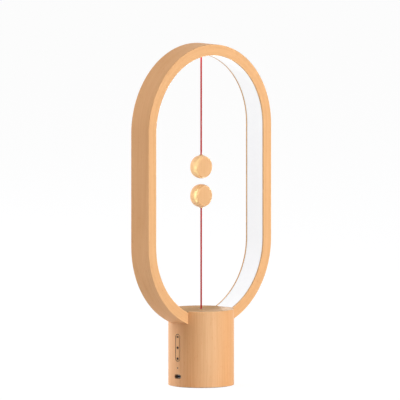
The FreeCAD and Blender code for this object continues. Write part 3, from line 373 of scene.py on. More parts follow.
def fill_mottle(g: Graph, given: Sequence[Socket]) -> Sequence[Value]:
    """Fine handling marks: a slow cloud for the colour and a quick grit for the relief.

    Args:
        g: The group's graph.
        given: Place and grit scale.

    Returns:
        Cloud and grit.
    """
    place, scale = given
    cloud = g.noise(place, g.math("MULTIPLY", scale, CLOUD_SCALE_SHARE), CLOUD_DETAIL)
    return g.between(cloud, *MIDDLE), g.noise(place, scale)


def fill_yarn(g: Graph, given: Sequence[Socket]) -> Sequence[Value]:
    """Fibres of a twisted string from its own map: U goes once round and V counts the twists.

    A strand's place is U times the strands less V; its fibres run a little steeper than it does.

    Args:
        g: The group's graph.
        given: Map position and number of strands.

    Returns:
        Crown mask and fibre value.
    """
    around, strands = given
    u, v, _ = g.parts(around)
    strand = g.math("MULTIPLY", u, strands)
    turn = g.math("FRACT", g.math("SUBTRACT", strand, v))
    crown = g.math("SUBTRACT", 1.0, g.math("ABSOLUTE", g.eased(-1.0, turn, 2.0)))
    slope = g.eased(strand, v, -FIBRE_SLOPE)
    place = g.vector(g.math("MULTIPLY", slope, FIBRES_ROUND),
                     g.math("MULTIPLY", v, FIBRES_ALONG), 0.0)
    return g.between(crown, *CROWN_EDGE), g.noise(place, 1.0, 1.0)


def numbers(*names: str) -> dict[str, str]:
    """The socket type of inputs or outputs that are numbers."""
    return dict.fromkeys(names, "Float")


PLACE = {"Vector": "Vector"}
GROUPS = {
    "Wood": new_group(
        "WoodGrain", PLACE | numbers("Ring Spacing", "Wander", "Fibre", "Zone Start", "Zone Width"),
        numbers("Tone", "Fleck", "Height", "Zone"), fill_wood),
    "Band": new_group("BandPlace", PLACE | numbers("Low", "High", "Radius"), PLACE, fill_band),
    "End": new_group("EndGrain", {"Normal": "Vector"}, numbers("Mask"), fill_end_grain),
    "Mottle": new_group("Mottle", PLACE | numbers("Scale"), numbers("Cloud", "Grit"), fill_mottle),
    "Yarn": new_group("TwistedYarn", PLACE | numbers("Strands"), numbers("Crown", "Fibre"),
                      fill_yarn),
}


# ---- finishes


class Grain(Enum):
    """Which way the fibres of a wooden piece run."""

    UPRIGHT = "upright"
    ALONG_BAND = "along the band"


def start_material(name: str) -> tuple[bpy.types.Material, Graph, bpy.types.Node]:
    """A new material with its graph and its main shader.

    Args:
        name: The material's name.

    Returns:
        The material, its graph and its Principled node.
    """
    material = bpy.data.materials.new(name)
    graph = empty_graph(material)
    shader = graph.node("BsdfPrincipled")
    graph.node("OutputMaterial", {0: shader.outputs[0]})
    return material, graph, shader


def set_surface(g: Graph, shader: bpy.types.Node, colour: Value, roughness: Value,
                relief: tuple[Value, float, float]) -> None:
    """Feed what every finish has: colour, roughness and relief.

    Args:
        g: The material's graph.
        shader: Its main shader.
        colour: The colour.
        roughness: The roughness.
        relief: The height, its size in metres and the strength of the bump.
    """
    g.feed(shader.inputs["Base Color"], colour)
    g.feed(shader.inputs["Roughness"], roughness)
    height, distance, strength = relief
    bump = g.node("Bump", {"Height": height, "Distance": distance, "Strength": strength})
    g.feed(shader.inputs["Normal"], bump.outputs[0])


@dataclass(frozen=True)
class WoodFinish:
    """Varnished beech.

    The end values hold where the fibres end on the surface: a share of the coat, and a roughness
    that is added. The end colour is end grain; on the base and the cap it is darker still, as
    painted shade on top faces that the lamps barely reach. The lips are the wood beside the cover,
    inside the lip radius, and their tint is painted shade. The zone tint is painted shade on the
    base's less lit side and a slight tone elsewhere.
    """

    name: str
    light: Colour
    dark: Colour
    end_grain_and_shade_colour: Colour
    grain: Grain = Grain.UPRIGHT
    offset: Triple = (0.0, 0.0, 0.0)
    ring_spacing: float = 0.0042
    wander: float = 0.02
    fibre: float = 0.4
    roughness: float = 0.5
    tone_roughness: float = 0.12
    coat: float = 0.12
    coat_roughness: float = 0.2
    gloss: float = 0.35
    gloss_tint: Colour = WHITE
    # A broad zone tinted darker and redder: painted shade on the base's less lit side, a slight
    # tone elsewhere.
    zone_start: float = 0.078
    zone_width: float = 0.046
    tone_and_shade_tint: Colour = (0.98, 0.96, 0.94)
    fleck_share: float = 0.35
    # Painted shade on the lips beside the cover, and on the first part of the face beyond them.
    lip_shade_tint: Colour = (0.73, 0.75, 0.7)
    lip_shade_edge: float = 0.0004
    relief: float = 0.00003
    bump: float = 0.6
    end_tone_share: float = 0.4
    end_coat_share: float = 0.3
    end_dullness: float = 0.0

    def build(self) -> bpy.types.Material:
        """Make the material.

        Returns:
            The finished material.
        """
        material, g, shader = start_material(self.name)
        coordinates = g.node("TexCoord")
        place = coordinates.outputs["Object"]
        coat: Value = self.coat
        dullness: Value = self.roughness
        if self.grain is Grain.ALONG_BAND:
            place = g.group(GROUPS["Band"], {"Vector": place, "Low": ARC_LOW, "High": ARC_HIGH,
                                             "Radius": GRAIN_RADIUS}).outputs[0]
            colour, tone, height = self.timber(g, place)
            out, _, _ = g.parts(place)
            # Painted shade: the lips, which get no light from the cover, are darkened by the lip
            # tint.
            beyond_lip = g.between(out, LIP_RADIUS, LIP_RADIUS + self.lip_shade_edge)
            shaded_lip_colour = g.mixed(1.0, colour, self.lip_shade_tint, "MULTIPLY")
            colour = g.mixed(beyond_lip, shaded_lip_colour, colour)
        else:
            colour, tone, height = self.timber(g, place)
            end = g.group(GROUPS["End"], {"Normal": coordinates.outputs["Normal"]}).outputs[0]
            # Faces that look along the grain take the end colour: end grain, darkened on the base
            # and cap as painted shade on the top.
            end_grain_and_shade_colour = g.mixed(g.math("MULTIPLY", tone, self.end_tone_share),
                                 self.end_grain_and_shade_colour, self.dark)
            colour = g.mixed(end, colour, end_grain_and_shade_colour)
            coat = g.eased(self.coat, end, (self.end_coat_share - 1.0) * self.coat)
            dullness = g.eased(self.roughness, end, self.end_dullness)
        set_surface(g, shader, colour, g.eased(dullness, tone, self.tone_roughness),
                    (height, self.relief, self.bump))
        g.feed(shader.inputs["Coat Weight"], coat)
        shader.inputs["Coat Roughness"].default_value = self.coat_roughness
        shader.inputs["Specular IOR Level"].default_value = self.gloss
        shader.inputs["Specular Tint"].default_value = (*self.gloss_tint, 1.0)
        return material

    def timber(self, g: Graph, place: Value) -> tuple[Value, Value, Value]:
        """Place the grain group and colour it.

        Args:
            g: The material's graph.
            place: Coordinates whose Z runs along the fibres.

        Returns:
            The colour, the tone and the height.
        """
        wood = g.group(GROUPS["Wood"], {
            "Vector": g.stretched(place, (1.0, 1.0, 1.0), self.offset),
            "Ring Spacing": self.ring_spacing, "Wander": self.wander, "Fibre": self.fibre,
            "Zone Start": self.zone_start, "Zone Width": self.zone_width})
        tone, fleck, height, tone_and_shade_zone = wood.outputs
        colour = g.mixed(tone, self.light, self.dark)
        # The zone tint: painted shade where the zone lies on the base's less lit side.
        colour = g.mixed(tone_and_shade_zone, colour, self.tone_and_shade_tint, "MULTIPLY")
        fleck = g.math("MULTIPLY", fleck, self.fleck_share)
        return g.mixed(fleck, colour, self.dark, "MULTIPLY"), tone, height


@dataclass(frozen=True)
class PlainFinish:
    """Metal, plastic, rubber or board with fine handling marks."""

    name: str
    colour: Colour
    worn: Colour
    metallic: float = 0.0
    roughness: float = 0.5
    roughness_range: float = 0.14
    grit: float = 900.0
    relief: float = 0.00001
    bump: float = 0.5
    coat: float = 0.0
    glow: float = 0.0
    squeeze: Triple = (1.0, 1.0, 1.0)

    def build(self) -> bpy.types.Material:
        """Make the material.

        Returns:
            The finished material.
        """
        material, g, shader = start_material(self.name)
        place = g.stretched(g.node("TexCoord").outputs["Object"], self.squeeze)
        cloud, grit = g.group(GROUPS["Mottle"], {"Vector": place, "Scale": self.grit}).outputs
        colour = g.mixed(cloud, self.colour, self.worn)
        roughness = g.eased(self.roughness, g.math("SUBTRACT", cloud, 0.5), self.roughness_range)
        set_surface(g, shader, colour, roughness, (grit, self.relief, self.bump))
        shader.inputs["Metallic"].default_value = self.metallic
        shader.inputs["Coat Weight"].default_value = self.coat
        if self.glow:
            g.feed(shader.inputs["Emission Color"], colour)
            shader.inputs["Emission Strength"].default_value = self.glow
        return material


@dataclass(frozen=True)
class YarnFinish:
    """Dyed twisted string; the grooves between its strands are painted darker, as painted shade."""

    name: str
    colour: Colour
    fibre_and_groove_shade: Colour
    strands: float = 3.0
    fibre_share: float = 0.3
    roughness: float = 0.65
    fibre_roughness: float = 0.2
    gloss: float = 0.03
    relief: float = 0.00005
    bump: float = 0.5

    def build(self) -> bpy.types.Material:
        """Make the material.

        Returns:
            The finished material.
        """
        material, g, shader = start_material(self.name)
        place = g.node("TexCoord").outputs["UV"]
        yarn = g.group(GROUPS["Yarn"], {"Vector": place, "Strands": self.strands})
        crown, fibre = yarn.outputs
        # Painted shade: the grooves between strands take the darker colour; the crowns keep the
        # dye.
        colour = g.mixed(crown, self.fibre_and_groove_shade, self.colour)
        colour = g.mixed(g.math("MULTIPLY", fibre, self.fibre_share), colour, self.fibre_and_groove_shade)
        roughness = g.eased(self.roughness, fibre, self.fibre_roughness)
        set_surface(g, shader, colour, roughness, (fibre, self.relief, self.bump))
        shader.inputs["Specular IOR Level"].default_value = self.gloss
        return material


@dataclass(frozen=True)
class CoverFinish:
    """Opal plastic, lit evenly from behind, a little greyer towards the lips of the channel."""

    name: str
    colour: Colour
    edge: Colour
    glow: float
    half_width: float
    edge_start: float = 0.8
    edge_share: float = 0.85
    cloud_share: float = 0.15
    unlit_share: float = 0.75
    roughness: float = 0.5
    grit: float = 2500.0
    relief: float = 0.00001
    bump: float = 0.3

    def build(self) -> bpy.types.Material:
        """Make the material.

        Returns:
            The finished material.
        """
        material, g, shader = start_material(self.name)
        place = g.node("TexCoord").outputs["Object"]
        _, y, _ = g.parts(place)
        side = g.between(g.math("ABSOLUTE", y), self.edge_start * self.half_width, self.half_width)
        cloud, grit = g.group(GROUPS["Mottle"], {"Vector": place, "Scale": self.grit}).outputs
        haze = g.eased(g.math("MULTIPLY", side, self.edge_share), cloud, self.cloud_share)
        colour = g.mixed(haze, self.colour, self.edge)
        unlit = g.mixed(self.unlit_share, colour, (0.0, 0.0, 0.0))
        set_surface(g, shader, unlit, self.roughness, (grit, self.relief, self.bump))
        g.feed(shader.inputs["Emission Color"], colour)
        shader.inputs["Emission Strength"].default_value = self.glow
        return material


# The finishes, by material slot or by a key of their own.
BEECH_LIGHT = (0.945, 0.552, 0.262)
BEECH_DARK = (0.81, 0.415, 0.168)
BEECH_END = (0.5, 0.29, 0.14)

FINISHES: dict[str, bpy.types.Material] = {
    key: finish.build()
    for key, finish in {
        "ring_wood": WoodFinish(
            "RingBeech", BEECH_LIGHT, BEECH_DARK, BEECH_END, Grain.ALONG_BAND,
            offset=(-0.02, 0.0, 0.0), ring_spacing=0.006, fibre=0.3, coat=0.04, gloss=0.2),
        # Painted shade in the base: its zone tint darkens the side the lamps light least, and its
        # end colour darkens the top beyond end grain.
        "base_wood": WoodFinish(
            "BaseBeech", (0.975, 0.58, 0.3), (0.845, 0.445, 0.19), (0.42, 0.22, 0.073),
            tone_and_shade_tint=(0.94, 0.84, 0.72), coat=0.08, coat_roughness=0.12, gloss=0.2,
            end_coat_share=0.625, end_dullness=0.25),
        # The cap's colours are end grain darkened further as painted shade, for a top face that the
        # lamps barely reach.
        "cap_wood": WoodFinish(
            "CapBeechShaded", (0.46, 0.256, 0.102), (0.356, 0.193, 0.077), (0.45, 0.251, 0.099),
            roughness=0.7, coat=0.05, coat_roughness=0.12, gloss=0.05, end_coat_share=1.0),
        "key_wood": WoodFinish(
            "KeyBeech", BEECH_LIGHT, BEECH_DARK, BEECH_END, offset=(0.003, 0.002, 0.0)),
        "ball_wood": WoodFinish(
            "BallBeech", (0.82, 0.43, 0.21), (0.73, 0.362, 0.15), (0.74, 0.387, 0.178),
            offset=(0.0, 0.03, 0.0), fibre=0.15, roughness=0.36, coat=0.15, coat_roughness=0.16,
            gloss=1.0, gloss_tint=(1.0, 1.0, 0.5), relief=0.000004),
        "white_cover": CoverFinish(
            "OpalCover", (0.95, 0.95, 0.955), (0.86, 0.88, 0.9), glow=0.7, half_width=0.01285),
        "red_string": YarnFinish("RedString", (0.55, 0.014, 0.018), (0.34, 0.006, 0.008)),
        "strip_film": PlainFinish("StripFilm", (0.8, 0.8, 0.76), (0.7, 0.7, 0.66)),
        "light_chip": PlainFinish(
            "LightChip", (0.95, 0.85, 0.5), (0.9, 0.78, 0.42), roughness=0.4, glow=0.4),
        "brass": PlainFinish(
            "AgedBrass", (0.5, 0.33, 0.15), (0.4, 0.25, 0.11), metallic=1.0, roughness=0.36,
            squeeze=(1.0, 1.0, 14.0)),
        "steel": PlainFinish(
            "PlatedSteel", (0.62, 0.62, 0.63), (0.5, 0.5, 0.52), metallic=1.0, roughness=0.32),
        "magnet_metal": PlainFinish(
            "NickelPlate", (0.74, 0.73, 0.7), (0.66, 0.65, 0.62), metallic=1.0, roughness=0.18),
        "black_plastic": PlainFinish("BlackMoulding", (0.02, 0.02, 0.02), (0.035, 0.035, 0.035)),
        "brown_plastic": PlainFinish("TanMoulding", (0.42, 0.24, 0.12), (0.34, 0.19, 0.09)),
        "grey_plastic": PlainFinish("GreyMoulding", (0.5, 0.5, 0.49), (0.44, 0.44, 0.43)),
        "clear_plastic": PlainFinish(
            "LightRodEnd", (0.16, 0.11, 0.08), (0.1, 0.07, 0.05), roughness=0.2, coat=0.5),
        "white_plastic": PlainFinish(
            "WhiteMoulding", (0.8, 0.8, 0.78), (0.74, 0.74, 0.72), roughness=0.45),
        "soft_pad": PlainFinish(
            "FeltPad", (0.05, 0.045, 0.04), (0.08, 0.07, 0.06), roughness=0.9, grit=2600.0,
            relief=0.0001),
        "board": PlainFinish(
            "BoardMask", (0.75, 0.75, 0.72), (0.68, 0.68, 0.65), roughness=0.25, coat=0.3),
        "battery_wrap": PlainFinish(
            "CellPouch", (0.45, 0.47, 0.5), (0.36, 0.38, 0.41), metallic=0.5, roughness=0.35),
        "foam": PlainFinish(
            "FoamTape", (0.8, 0.8, 0.77), (0.7, 0.7, 0.67), roughness=0.85, grit=3200.0,
            relief=0.00008),
        "lead_cover": PlainFinish(
            "LeadSleeve", (0.5, 0.02, 0.015), (0.4, 0.015, 0.012), roughness=0.45),
        # Burnt marks on the rocker, and also the painted shadow of its gap.
        "mark_fill": PlainFinish(
            "BurntMarkAndGapShadow", (0.045, 0.018, 0.01), (0.08, 0.035, 0.02), roughness=0.7),
    }.items()
}


# ---- meshes


def new_piece(name: str, points: np.ndarray, faces: np.ndarray, body: str, slot: str,
              finish: str | None = None, uv: np.ndarray | None = None) -> bpy.types.Object:
    """Make a smooth mesh piece that rides on a body.

    Args:
        name: The piece's name.
        points: Its points, one row each.
        faces: Its four-sided faces as rows of point numbers.
        body: The CAD body that it rides on.
        slot: The record's material slot.
        finish: The key of its finish, if it isn't the slot's.
        uv: A map position for each point, if it has a map.

    Returns:
        The new object.
    """
    mesh = bpy.data.meshes.new(name)
    mesh.from_pydata(points.tolist(), [], faces.tolist())
    mesh.polygons.foreach_set("use_smooth", np.ones(len(mesh.polygons), bool))
    if uv is not None:
        corners = np.empty(len(mesh.loops), np.int32)
        mesh.loops.foreach_get("vertex_index", corners)
        layer = mesh.uv_layers.new(name="UVMap")
        layer.data.foreach_set("uv", uv[corners].astype(np.float32).ravel())
    mesh.materials.append(FINISHES[finish or slot])
    mesh.update()
    piece = put(name, mesh)
    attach(piece, body)
    LOG.info("piece %s: %d faces on %s", name, len(mesh.polygons), body)
    return piece


def table(*values: np.ndarray | float) -> np.ndarray:
    """Grids of values, brought to one shape, as the columns of a table."""
    return np.stack(np.broadcast_arrays(*values), axis=-1).reshape(-1, len(values))


def grid_faces(rows: int, columns: int, wrap: bool, closed_rows: bool = False) -> np.ndarray:
    """Four-sided faces of a grid of points, row after row.

    Args:
        rows: How many rows of points.
        columns: How many points in a row.
        wrap: Whether each row closes on itself.
        closed_rows: Whether the last row joins the first.

    Returns:
        One row of four point numbers per face.
    """
    i = np.arange(rows if closed_rows else rows - 1)[:, None]
    j = np.arange(columns if wrap else columns - 1)[None, :]
    below = (i + 1) % rows
    beside = (j + 1) % columns
    return np.stack([i * columns + j, i * columns + beside,
                     below * columns + beside, below * columns + j], axis=-1).reshape(-1, 4)


def dress(names: Sequence[str], finish: str | None = None) -> None:
    """Give CAD nodes the finish of their own material slot, or another one.

    Args:
        names: The nodes.
        finish: The key of the finish, if it isn't the slot's.
    """
    slots = {part["node"]: part["material_slot"] for part in frame["record"]["subparts"]}
    for name in names:
        node = frame["nodes"][name]
        node.material_slots[0].material = FINISHES[finish or slots[name]]
        LOG.info("node %s: %s", name, slots[name])


def route_points(name: str, controls: Sequence[Sequence[float]]) -> np.ndarray:
    """Points along a string's smooth line, read from a NURBS spline through its controls.

    Args:
        name: The line's name.
        controls: The control points.

    Returns:
        The line's points, one row each.
    """
    curve = bpy.data.curves.new(name, "CURVE")
    curve.dimensions = "3D"
    curve.resolution_u = 24
    spline = curve.splines.new("NURBS")
    spline.points.add(len(controls) - 1)
    for point, control in zip(spline.points, controls):
        point.co = (*control, 1.0)
    spline.order_u = 3
    spline.use_endpoint_u = True
    holder = put(name, curve)
    bpy.context.view_layer.update()
    evaluated = holder.evaluated_get(bpy.context.evaluated_depsgraph_get())
    mesh = bpy.data.meshes.new_from_object(evaluated)
    points = np.empty(len(mesh.vertices) * 3)
    mesh.vertices.foreach_get("co", points)
    bpy.data.meshes.remove(mesh)
    bpy.data.objects.remove(holder)
    bpy.data.curves.remove(curve)
    return points.reshape(-1, 3)


# ---- lamps


def turn_of(x_axis: Vector, y_axis: Vector, z_axis: Vector) -> Euler:
    """The turn that brings X, Y and Z onto three axes."""
    return Matrix((x_axis, y_axis, z_axis)).transposed().to_euler()


def hang_lamp(name: str, size: tuple[float, float], energy: float, tint: Colour,
              place: Sequence[float], turn: Euler) -> bpy.types.Object:
    """Hang a soft rectangular lamp that the camera doesn't see.

    Args:
        name: The lamp's name.
        size: Its width and its length.
        energy: Its power in watts.
        tint: Its colour.
        place: Where it is.
        turn: Its turn; it shines against its own Z.

    Returns:
        The lamp's object.
    """
    lamp = bpy.data.lights.new(name, "AREA")
    lamp.shape = "RECTANGLE"
    lamp.size, lamp.size_y = size
    lamp.energy = energy
    lamp.color = tint
    holder = put(name, lamp)
    holder.location = place
    holder.rotation_euler = turn
    holder.visible_camera = False
    return holder


@dataclass(frozen=True)
class Stretch:
    """A flat stretch of the ring's cover: its middle, where it looks and how long it is."""

    place: Triple
    way: Triple
    length: float
    on_arc: bool = True


@dataclass(frozen=True)
class Shine:
    """One kind of light from the cover: it is seen either in varnish or on matt surfaces."""

    name: str
    radiance: float
    tint: Colour = WHITE
    arc_share: float = 1.0
    in_varnish: bool = True

    def hang(self, name: str, stretch: Stretch, width: float) -> None:
        """Hang a lamp on a stretch of the cover.

        Args:
            name: The lamp's name.
            stretch: The stretch.
            width: The lamp's width, which lies along Y.
        """
        share = self.arc_share if stretch.on_arc else 1.0
        energy = share * self.radiance * math.pi * width * stretch.length
        z_axis = -Vector(stretch.way)
        x_axis = Vector((0.0, 1.0, 0.0))
        lamp = hang_lamp(name, (width, stretch.length), energy, self.tint, stretch.place,
                         turn_of(x_axis, z_axis.cross(x_axis), z_axis))
        lamp.visible_diffuse = not self.in_varnish
        lamp.visible_glossy = self.in_varnish


# ---- pieces


@dataclass
class SubAssembly:
    """CAD nodes that belong together and get the finishes of their own material slots."""

    nodes: tuple[str, ...] = ()

    def build(self) -> None:
        """Dress the nodes."""
        dress(self.nodes)


@dataclass
class RingOfLight(SubAssembly):
    """The wooden ring with its light strip and opal cover, and the light that comes from it.

    Soft lamps lie just inside the cover and look towards the middle of the ring. The glow lights
    matt surfaces, and the gleam and the feet are seen in varnish. The feet are the lit ends of
    the lower arc; their angles, in degrees, count down from the level of that arc's centre.
    """

    nodes: tuple[str, ...] = ("ring_frame", "led_strip", "led_chips", "diffuser", "upper_anchor")
    inset: float = 0.0012
    lamp_width: float = 0.0235
    arc_steps: int = 6
    covered_below: float = 0.118
    foot_from: float = 54.5
    foot_to: float = 65.4
    glow: Shine = Shine("Glow", radiance=1.5, tint=(0.88, 1.0, 0.92), in_varnish=False)
    gleam: Shine = Shine("Gleam", radiance=64.0, tint=(1.0, 0.97, 0.9), arc_share=0.35)
    foot: Shine = Shine("Foot", radiance=6.5)

    @property
    def radius(self) -> float:
        """How far the lamps are from the middle of the ring."""
        return COVER_RADIUS - self.inset

    def arc_stretch(self, centre: float, angle: float, span: float) -> Stretch:
        """A flat stretch that touches one of the ring's arcs.

        Args:
            centre: The level of the arc's centre.
            angle: The direction of the stretch's middle, turned up from X.
            span: The angle that it covers.

        Returns:
            The stretch.
        """
        across, up = math.cos(angle), math.sin(angle)
        return Stretch((across * self.radius, 0.0, centre + up * self.radius),
                       (-across, 0.0, -up), 2 * self.radius * math.tan(span / 2))

    def stretches(self) -> list[Stretch]:
        """Both straight sides, and the arcs down to the base.

        Returns:
            The stretches.
        """
        level = (ARC_HIGH + ARC_LOW) / 2
        found = [Stretch((side * self.radius, 0.0, level), (-side, 0.0, 0.0),
                         ARC_HIGH - ARC_LOW, on_arc=False) for side in (-1, 1)]
        step = math.pi / (2 * self.arc_steps)
        for k in range(2 * self.arc_steps):
            for centre, way in ((ARC_HIGH, 1.0), (ARC_LOW, -1.0)):
                stretch = self.arc_stretch(centre, way * (k + 0.5) * step, step)
                if stretch.place[2] > self.covered_below:
                    found.append(stretch)
        return found

    def build(self) -> None:
        """Dress the nodes and hang the lamps."""
        super().build()
        for k, stretch in enumerate(self.stretches()):
            for shine in (self.glow, self.gleam):
                shine.hang(f"{shine.name}{k}", stretch, self.lamp_width)
        start, end = math.radians(self.foot_from), math.radians(self.foot_to)
        angle = (start + end) / 2
        for side, turned in (("Left", angle - math.pi), ("Right", -angle)):
            stretch = self.arc_stretch(ARC_LOW, turned, end - start)
            self.foot.hang(f"{self.foot.name}{side}", stretch, self.lamp_width)


@dataclass
class Base(SubAssembly):
    """The turned base with what stands in it."""

    nodes: tuple[str, ...] = (
        "base_shell", "base_eyelet", "ring_screws", "bottom_plate", "bottom_screws",
        "threaded_inserts", "foot_pad", "ballast_disc", "chassis", "chassis_screws",
        "battery_cell", "battery_pad", "control_board", "board_screws", "board_components",
        "strip_connector", "switch_connector", "battery_connector", "indicator_led",
        "strip_lead", "switch_lead", "battery_lead")

    def build(self) -> None:
        """Dress the nodes; the cap has a darker finish of its own."""
        # The cap's dark finish is end grain with painted shade on its top face.
        dress(["base_top_cap"], "cap_wood")
        super().build()


@dataclass
class ChargingPort(SubAssembly):
    """The socket, its liner and the charge light over it."""

    nodes: tuple[str, ...] = ("usb_socket_shell", "usb_socket_tongue", "port_bezel",
                              "indicator_light_rod")


@dataclass
class KeyPanel(SubAssembly):
    """The rocker with its three burnt marks, a painted gap shadow round it, and what it presses.

    The recess's edge and wall are shares of its radius.
    """

    nodes: tuple[str, ...] = ("key_bar", "key_carrier", "key_dome_lower", "key_dome_middle",
                              "key_dome_upper")
    base_radius: float = 0.03845
    face_radius: float = 0.03835
    centre: float = 0.0463
    pitch: float = 0.01275
    slot_width: float = 0.007
    slot_height: float = 0.0318
    # Width and depth of the painted gap shadow.
    gap_shadow_width: float = 0.0003
    gap_shadow_depth: float = 0.0012
    arc_points: int = 33
    dot_width: float = 0.0036
    dot_height: float = 0.0032
    dash_width: float = 0.0038
    dash_height: float = 0.0021
    mark_rings: int = 28
    mark_points: int = 40
    inner_share: float = 0.02
    recess_radius: float = 0.001
    recess_depth: float = 0.0004
    recess_edge: float = 0.98
    recess_wall: float = 0.06
    film: float = 0.00002

    def mark(self, name: str, level: float, width: float, height: float) -> None:
        """A burnt mark in and round one of the rocker's recesses.

        The first parameter runs from the mark's oval edge to its middle, the second round it. A
        point lies on the rocker's round face, and inside the recess it drops to the floor of it.

        Args:
            name: The piece's name.
            level: How high up its middle is.
            width: Its width.
            height: Its height.
        """
        share = np.linspace(1.0, self.inner_share, self.mark_rings)[:, None]
        turn = np.linspace(0.0, FULL_TURN, self.mark_points, endpoint=False)[None, :]
        y = share * width / 2 * np.cos(turn)
        z = share * height / 2 * np.sin(turn)
        away = np.hypot(y, z) / self.recess_radius
        depth = self.recess_depth * np.clip((self.recess_edge - away) / self.recess_wall, 0.0, 1.0)
        x = -(np.sqrt(self.face_radius ** 2 - y ** 2) + self.film - depth)
        faces = grid_faces(self.mark_rings, self.mark_points, True)[:, ::-1]
        new_piece(name, table(x, y, level + z), faces, "key_bar", "key_wood", "mark_fill")

    def gap_shadow(self) -> None:
        """A dark strip round the rocker: painted shadow of the gap between rocker and slot.

        The path is the slot's edge, two half circles joined by upright lines. Across it, the line
        starts on the base's round face, comes in to the edge and turns down the slot's wall.
        """
        arc = self.slot_width / 2
        rise = self.slot_height / 2 - arc
        turn = np.linspace(0.0, np.pi, self.arc_points)
        turn = np.concatenate([turn, turn + np.pi])[None, :]
        lift = np.repeat([rise, -rise], self.arc_points)[None, :]
        radius = np.array([arc + self.gap_shadow_width, arc + self.gap_shadow_width / 2, arc - self.film,
                           arc - self.film])[:, None]
        depth = np.array([-self.film, -self.film, -self.film, self.gap_shadow_depth])[:, None]
        y = radius * np.cos(turn)
        z = radius * np.sin(turn) + lift
        x = -(np.sqrt(self.base_radius ** 2 - y ** 2) - depth)
        faces = grid_faces(len(radius), turn.size, True)[:, ::-1]
        new_piece("key_gap_shadow", table(x, y, self.centre + z), faces, "base", "base_wood",
                  "mark_fill")

    def build(self) -> None:
        """Dress the nodes, set the marks and lay the painted gap shadow."""
        super().build()
        self.mark("mark_lower", self.centre - self.pitch, self.dot_width, self.dot_height)
        self.mark("mark_middle", self.centre, self.dot_width, self.dot_height)
        self.mark("mark_upper", self.centre + self.pitch, self.dash_width, self.dash_height)
        # Painted shadow: a dark strip on the edge of the rocker's gap and down its wall.
        self.gap_shadow()


@dataclass
class PullSwitch(SubAssembly):
    """The rod that the lower string lifts, and the switch that it works."""

    nodes: tuple[str, ...] = (
        "pull_rod", "return_spring", "switch_bracket", "bracket_screws", "microswitch_case",
        "microswitch_button", "microswitch_lever", "lower_string_tail")


@dataclass
class TwistedString:
    """A taut string of three strands between the object and a ball.

    Its body is called as its node.
    """

    node: str
    exit_at_top: bool
    controls: int = 7
    diameter: float = 0.002
    strands: int = 3
    pitch: float = 0.0056
    groove: float = 0.16
    crown_power: float = 0.7
    around: int = 30
    step: float = 0.00035

    def build(self) -> bpy.types.Object:
        """Make the string's surface.

        A point sits at the line's point plus the radius along a turned direction. The radius is
        full on the crown of a strand and falls by the groove's share between two strands, and the
        strands turn once round the line in every pitch.

        Returns:
            The string.
        """
        low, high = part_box(self.node)
        ends = (high.z, low.z) if self.exit_at_top else (low.z, high.z)
        levels = np.linspace(ends[0], ends[1], self.controls)
        line = route_points(f"{self.node}_line", [(0.0, 0.0, z) for z in levels])
        span = np.linalg.norm(np.diff(line, axis=0), axis=1)
        reached = np.concatenate([[0.0], np.cumsum(span)])
        length = float(reached[-1])
        rows = int(length / self.step)
        at = np.linspace(0.0, length, rows)
        centre = np.stack([np.interp(at, reached, line[:, k]) for k in range(3)], axis=-1)
        turn = np.linspace(0.0, FULL_TURN, self.around + 1)[None, :]
        twist = FULL_TURN * at[:, None] / self.pitch
        crown = np.abs(np.cos(self.strands / 2 * (turn - twist)))
        radius = self.diameter / 2 * (1.0 - self.groove * (1.0 - crown ** self.crown_power))
        points = table(centre[:, None, 0] + radius * np.cos(turn),
                       centre[:, None, 1] + radius * np.sin(turn), centre[:, None, 2])
        uv = table(turn / FULL_TURN, self.strands * at[:, None] / self.pitch)
        faces = grid_faces(rows, self.around + 1, False)
        if self.exit_at_top:
            faces = faces[:, ::-1]
        piece = new_piece(f"{self.node}_twist", points, faces, self.node, "red_string", uv=uv)
        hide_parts(self.node)
        return piece


@dataclass
class UpperKnot:
    """The overhand knot under the ring: a tube round a trefoil."""

    tube: float = 0.00042
    reach: float = 3.0
    depth: float = 1.6
    steps: int = 120
    around: int = 14
    twists: float = 3.0

    def build(self) -> None:
        """Make the knot's surface.

        The line is (sin t + 2 sin 2t, minus the depth times sin 3t, cos t - 2 cos 2t), scaled so
        that its reach and the tube fill the knot's space. The tube's section is spanned by the
        line's normal and binormal.
        """
        low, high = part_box("upper_knot")
        centre = np.array((low + high) / 2)
        scale = ((high.z - low.z) / 2 - self.tube) / self.reach
        t = np.linspace(0.0, FULL_TURN, self.steps, endpoint=False)
        line = scale * np.stack([np.sin(t) + 2 * np.sin(2 * t), -self.depth * np.sin(3 * t),
                                 np.cos(t) - 2 * np.cos(2 * t)], axis=-1)
        ahead = np.roll(line, -1, axis=0) - np.roll(line, 1, axis=0)
        ahead /= np.linalg.norm(ahead, axis=1)[:, None]
        side = np.cross(ahead, line)
        side /= np.linalg.norm(side, axis=1)[:, None]
        rise = np.cross(side, ahead)
        turn = np.linspace(0.0, FULL_TURN, self.around, endpoint=False)
        points = line[:, None, :] + self.tube * (np.cos(turn)[None, :, None] * side[:, None, :]
                                                 + np.sin(turn)[None, :, None] * rise[:, None, :])
        uv = table(turn[None, :] / FULL_TURN, self.twists * t[:, None])
        faces = grid_faces(self.steps, self.around, True, True)
        piece = new_piece("upper_knot_tie", (centre + points).reshape(-1, 3), faces, "upper_knot",
                          "red_string", uv=uv)
        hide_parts("upper_knot")


@dataclass
class Strings(SubAssembly):
    """Both strings with their knots."""

    nodes: tuple[str, ...] = ("lower_knot",)
    drop: float = 0.114

    def build(self) -> None:
        """Dress the lower knot and make both strings and the upper knot."""
        super().build()
        TwistedString("upper_string", exit_at_top=True).build()
        lower = TwistedString("lower_string", exit_at_top=False).build()
        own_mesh(lower)
        UpperKnot().build()


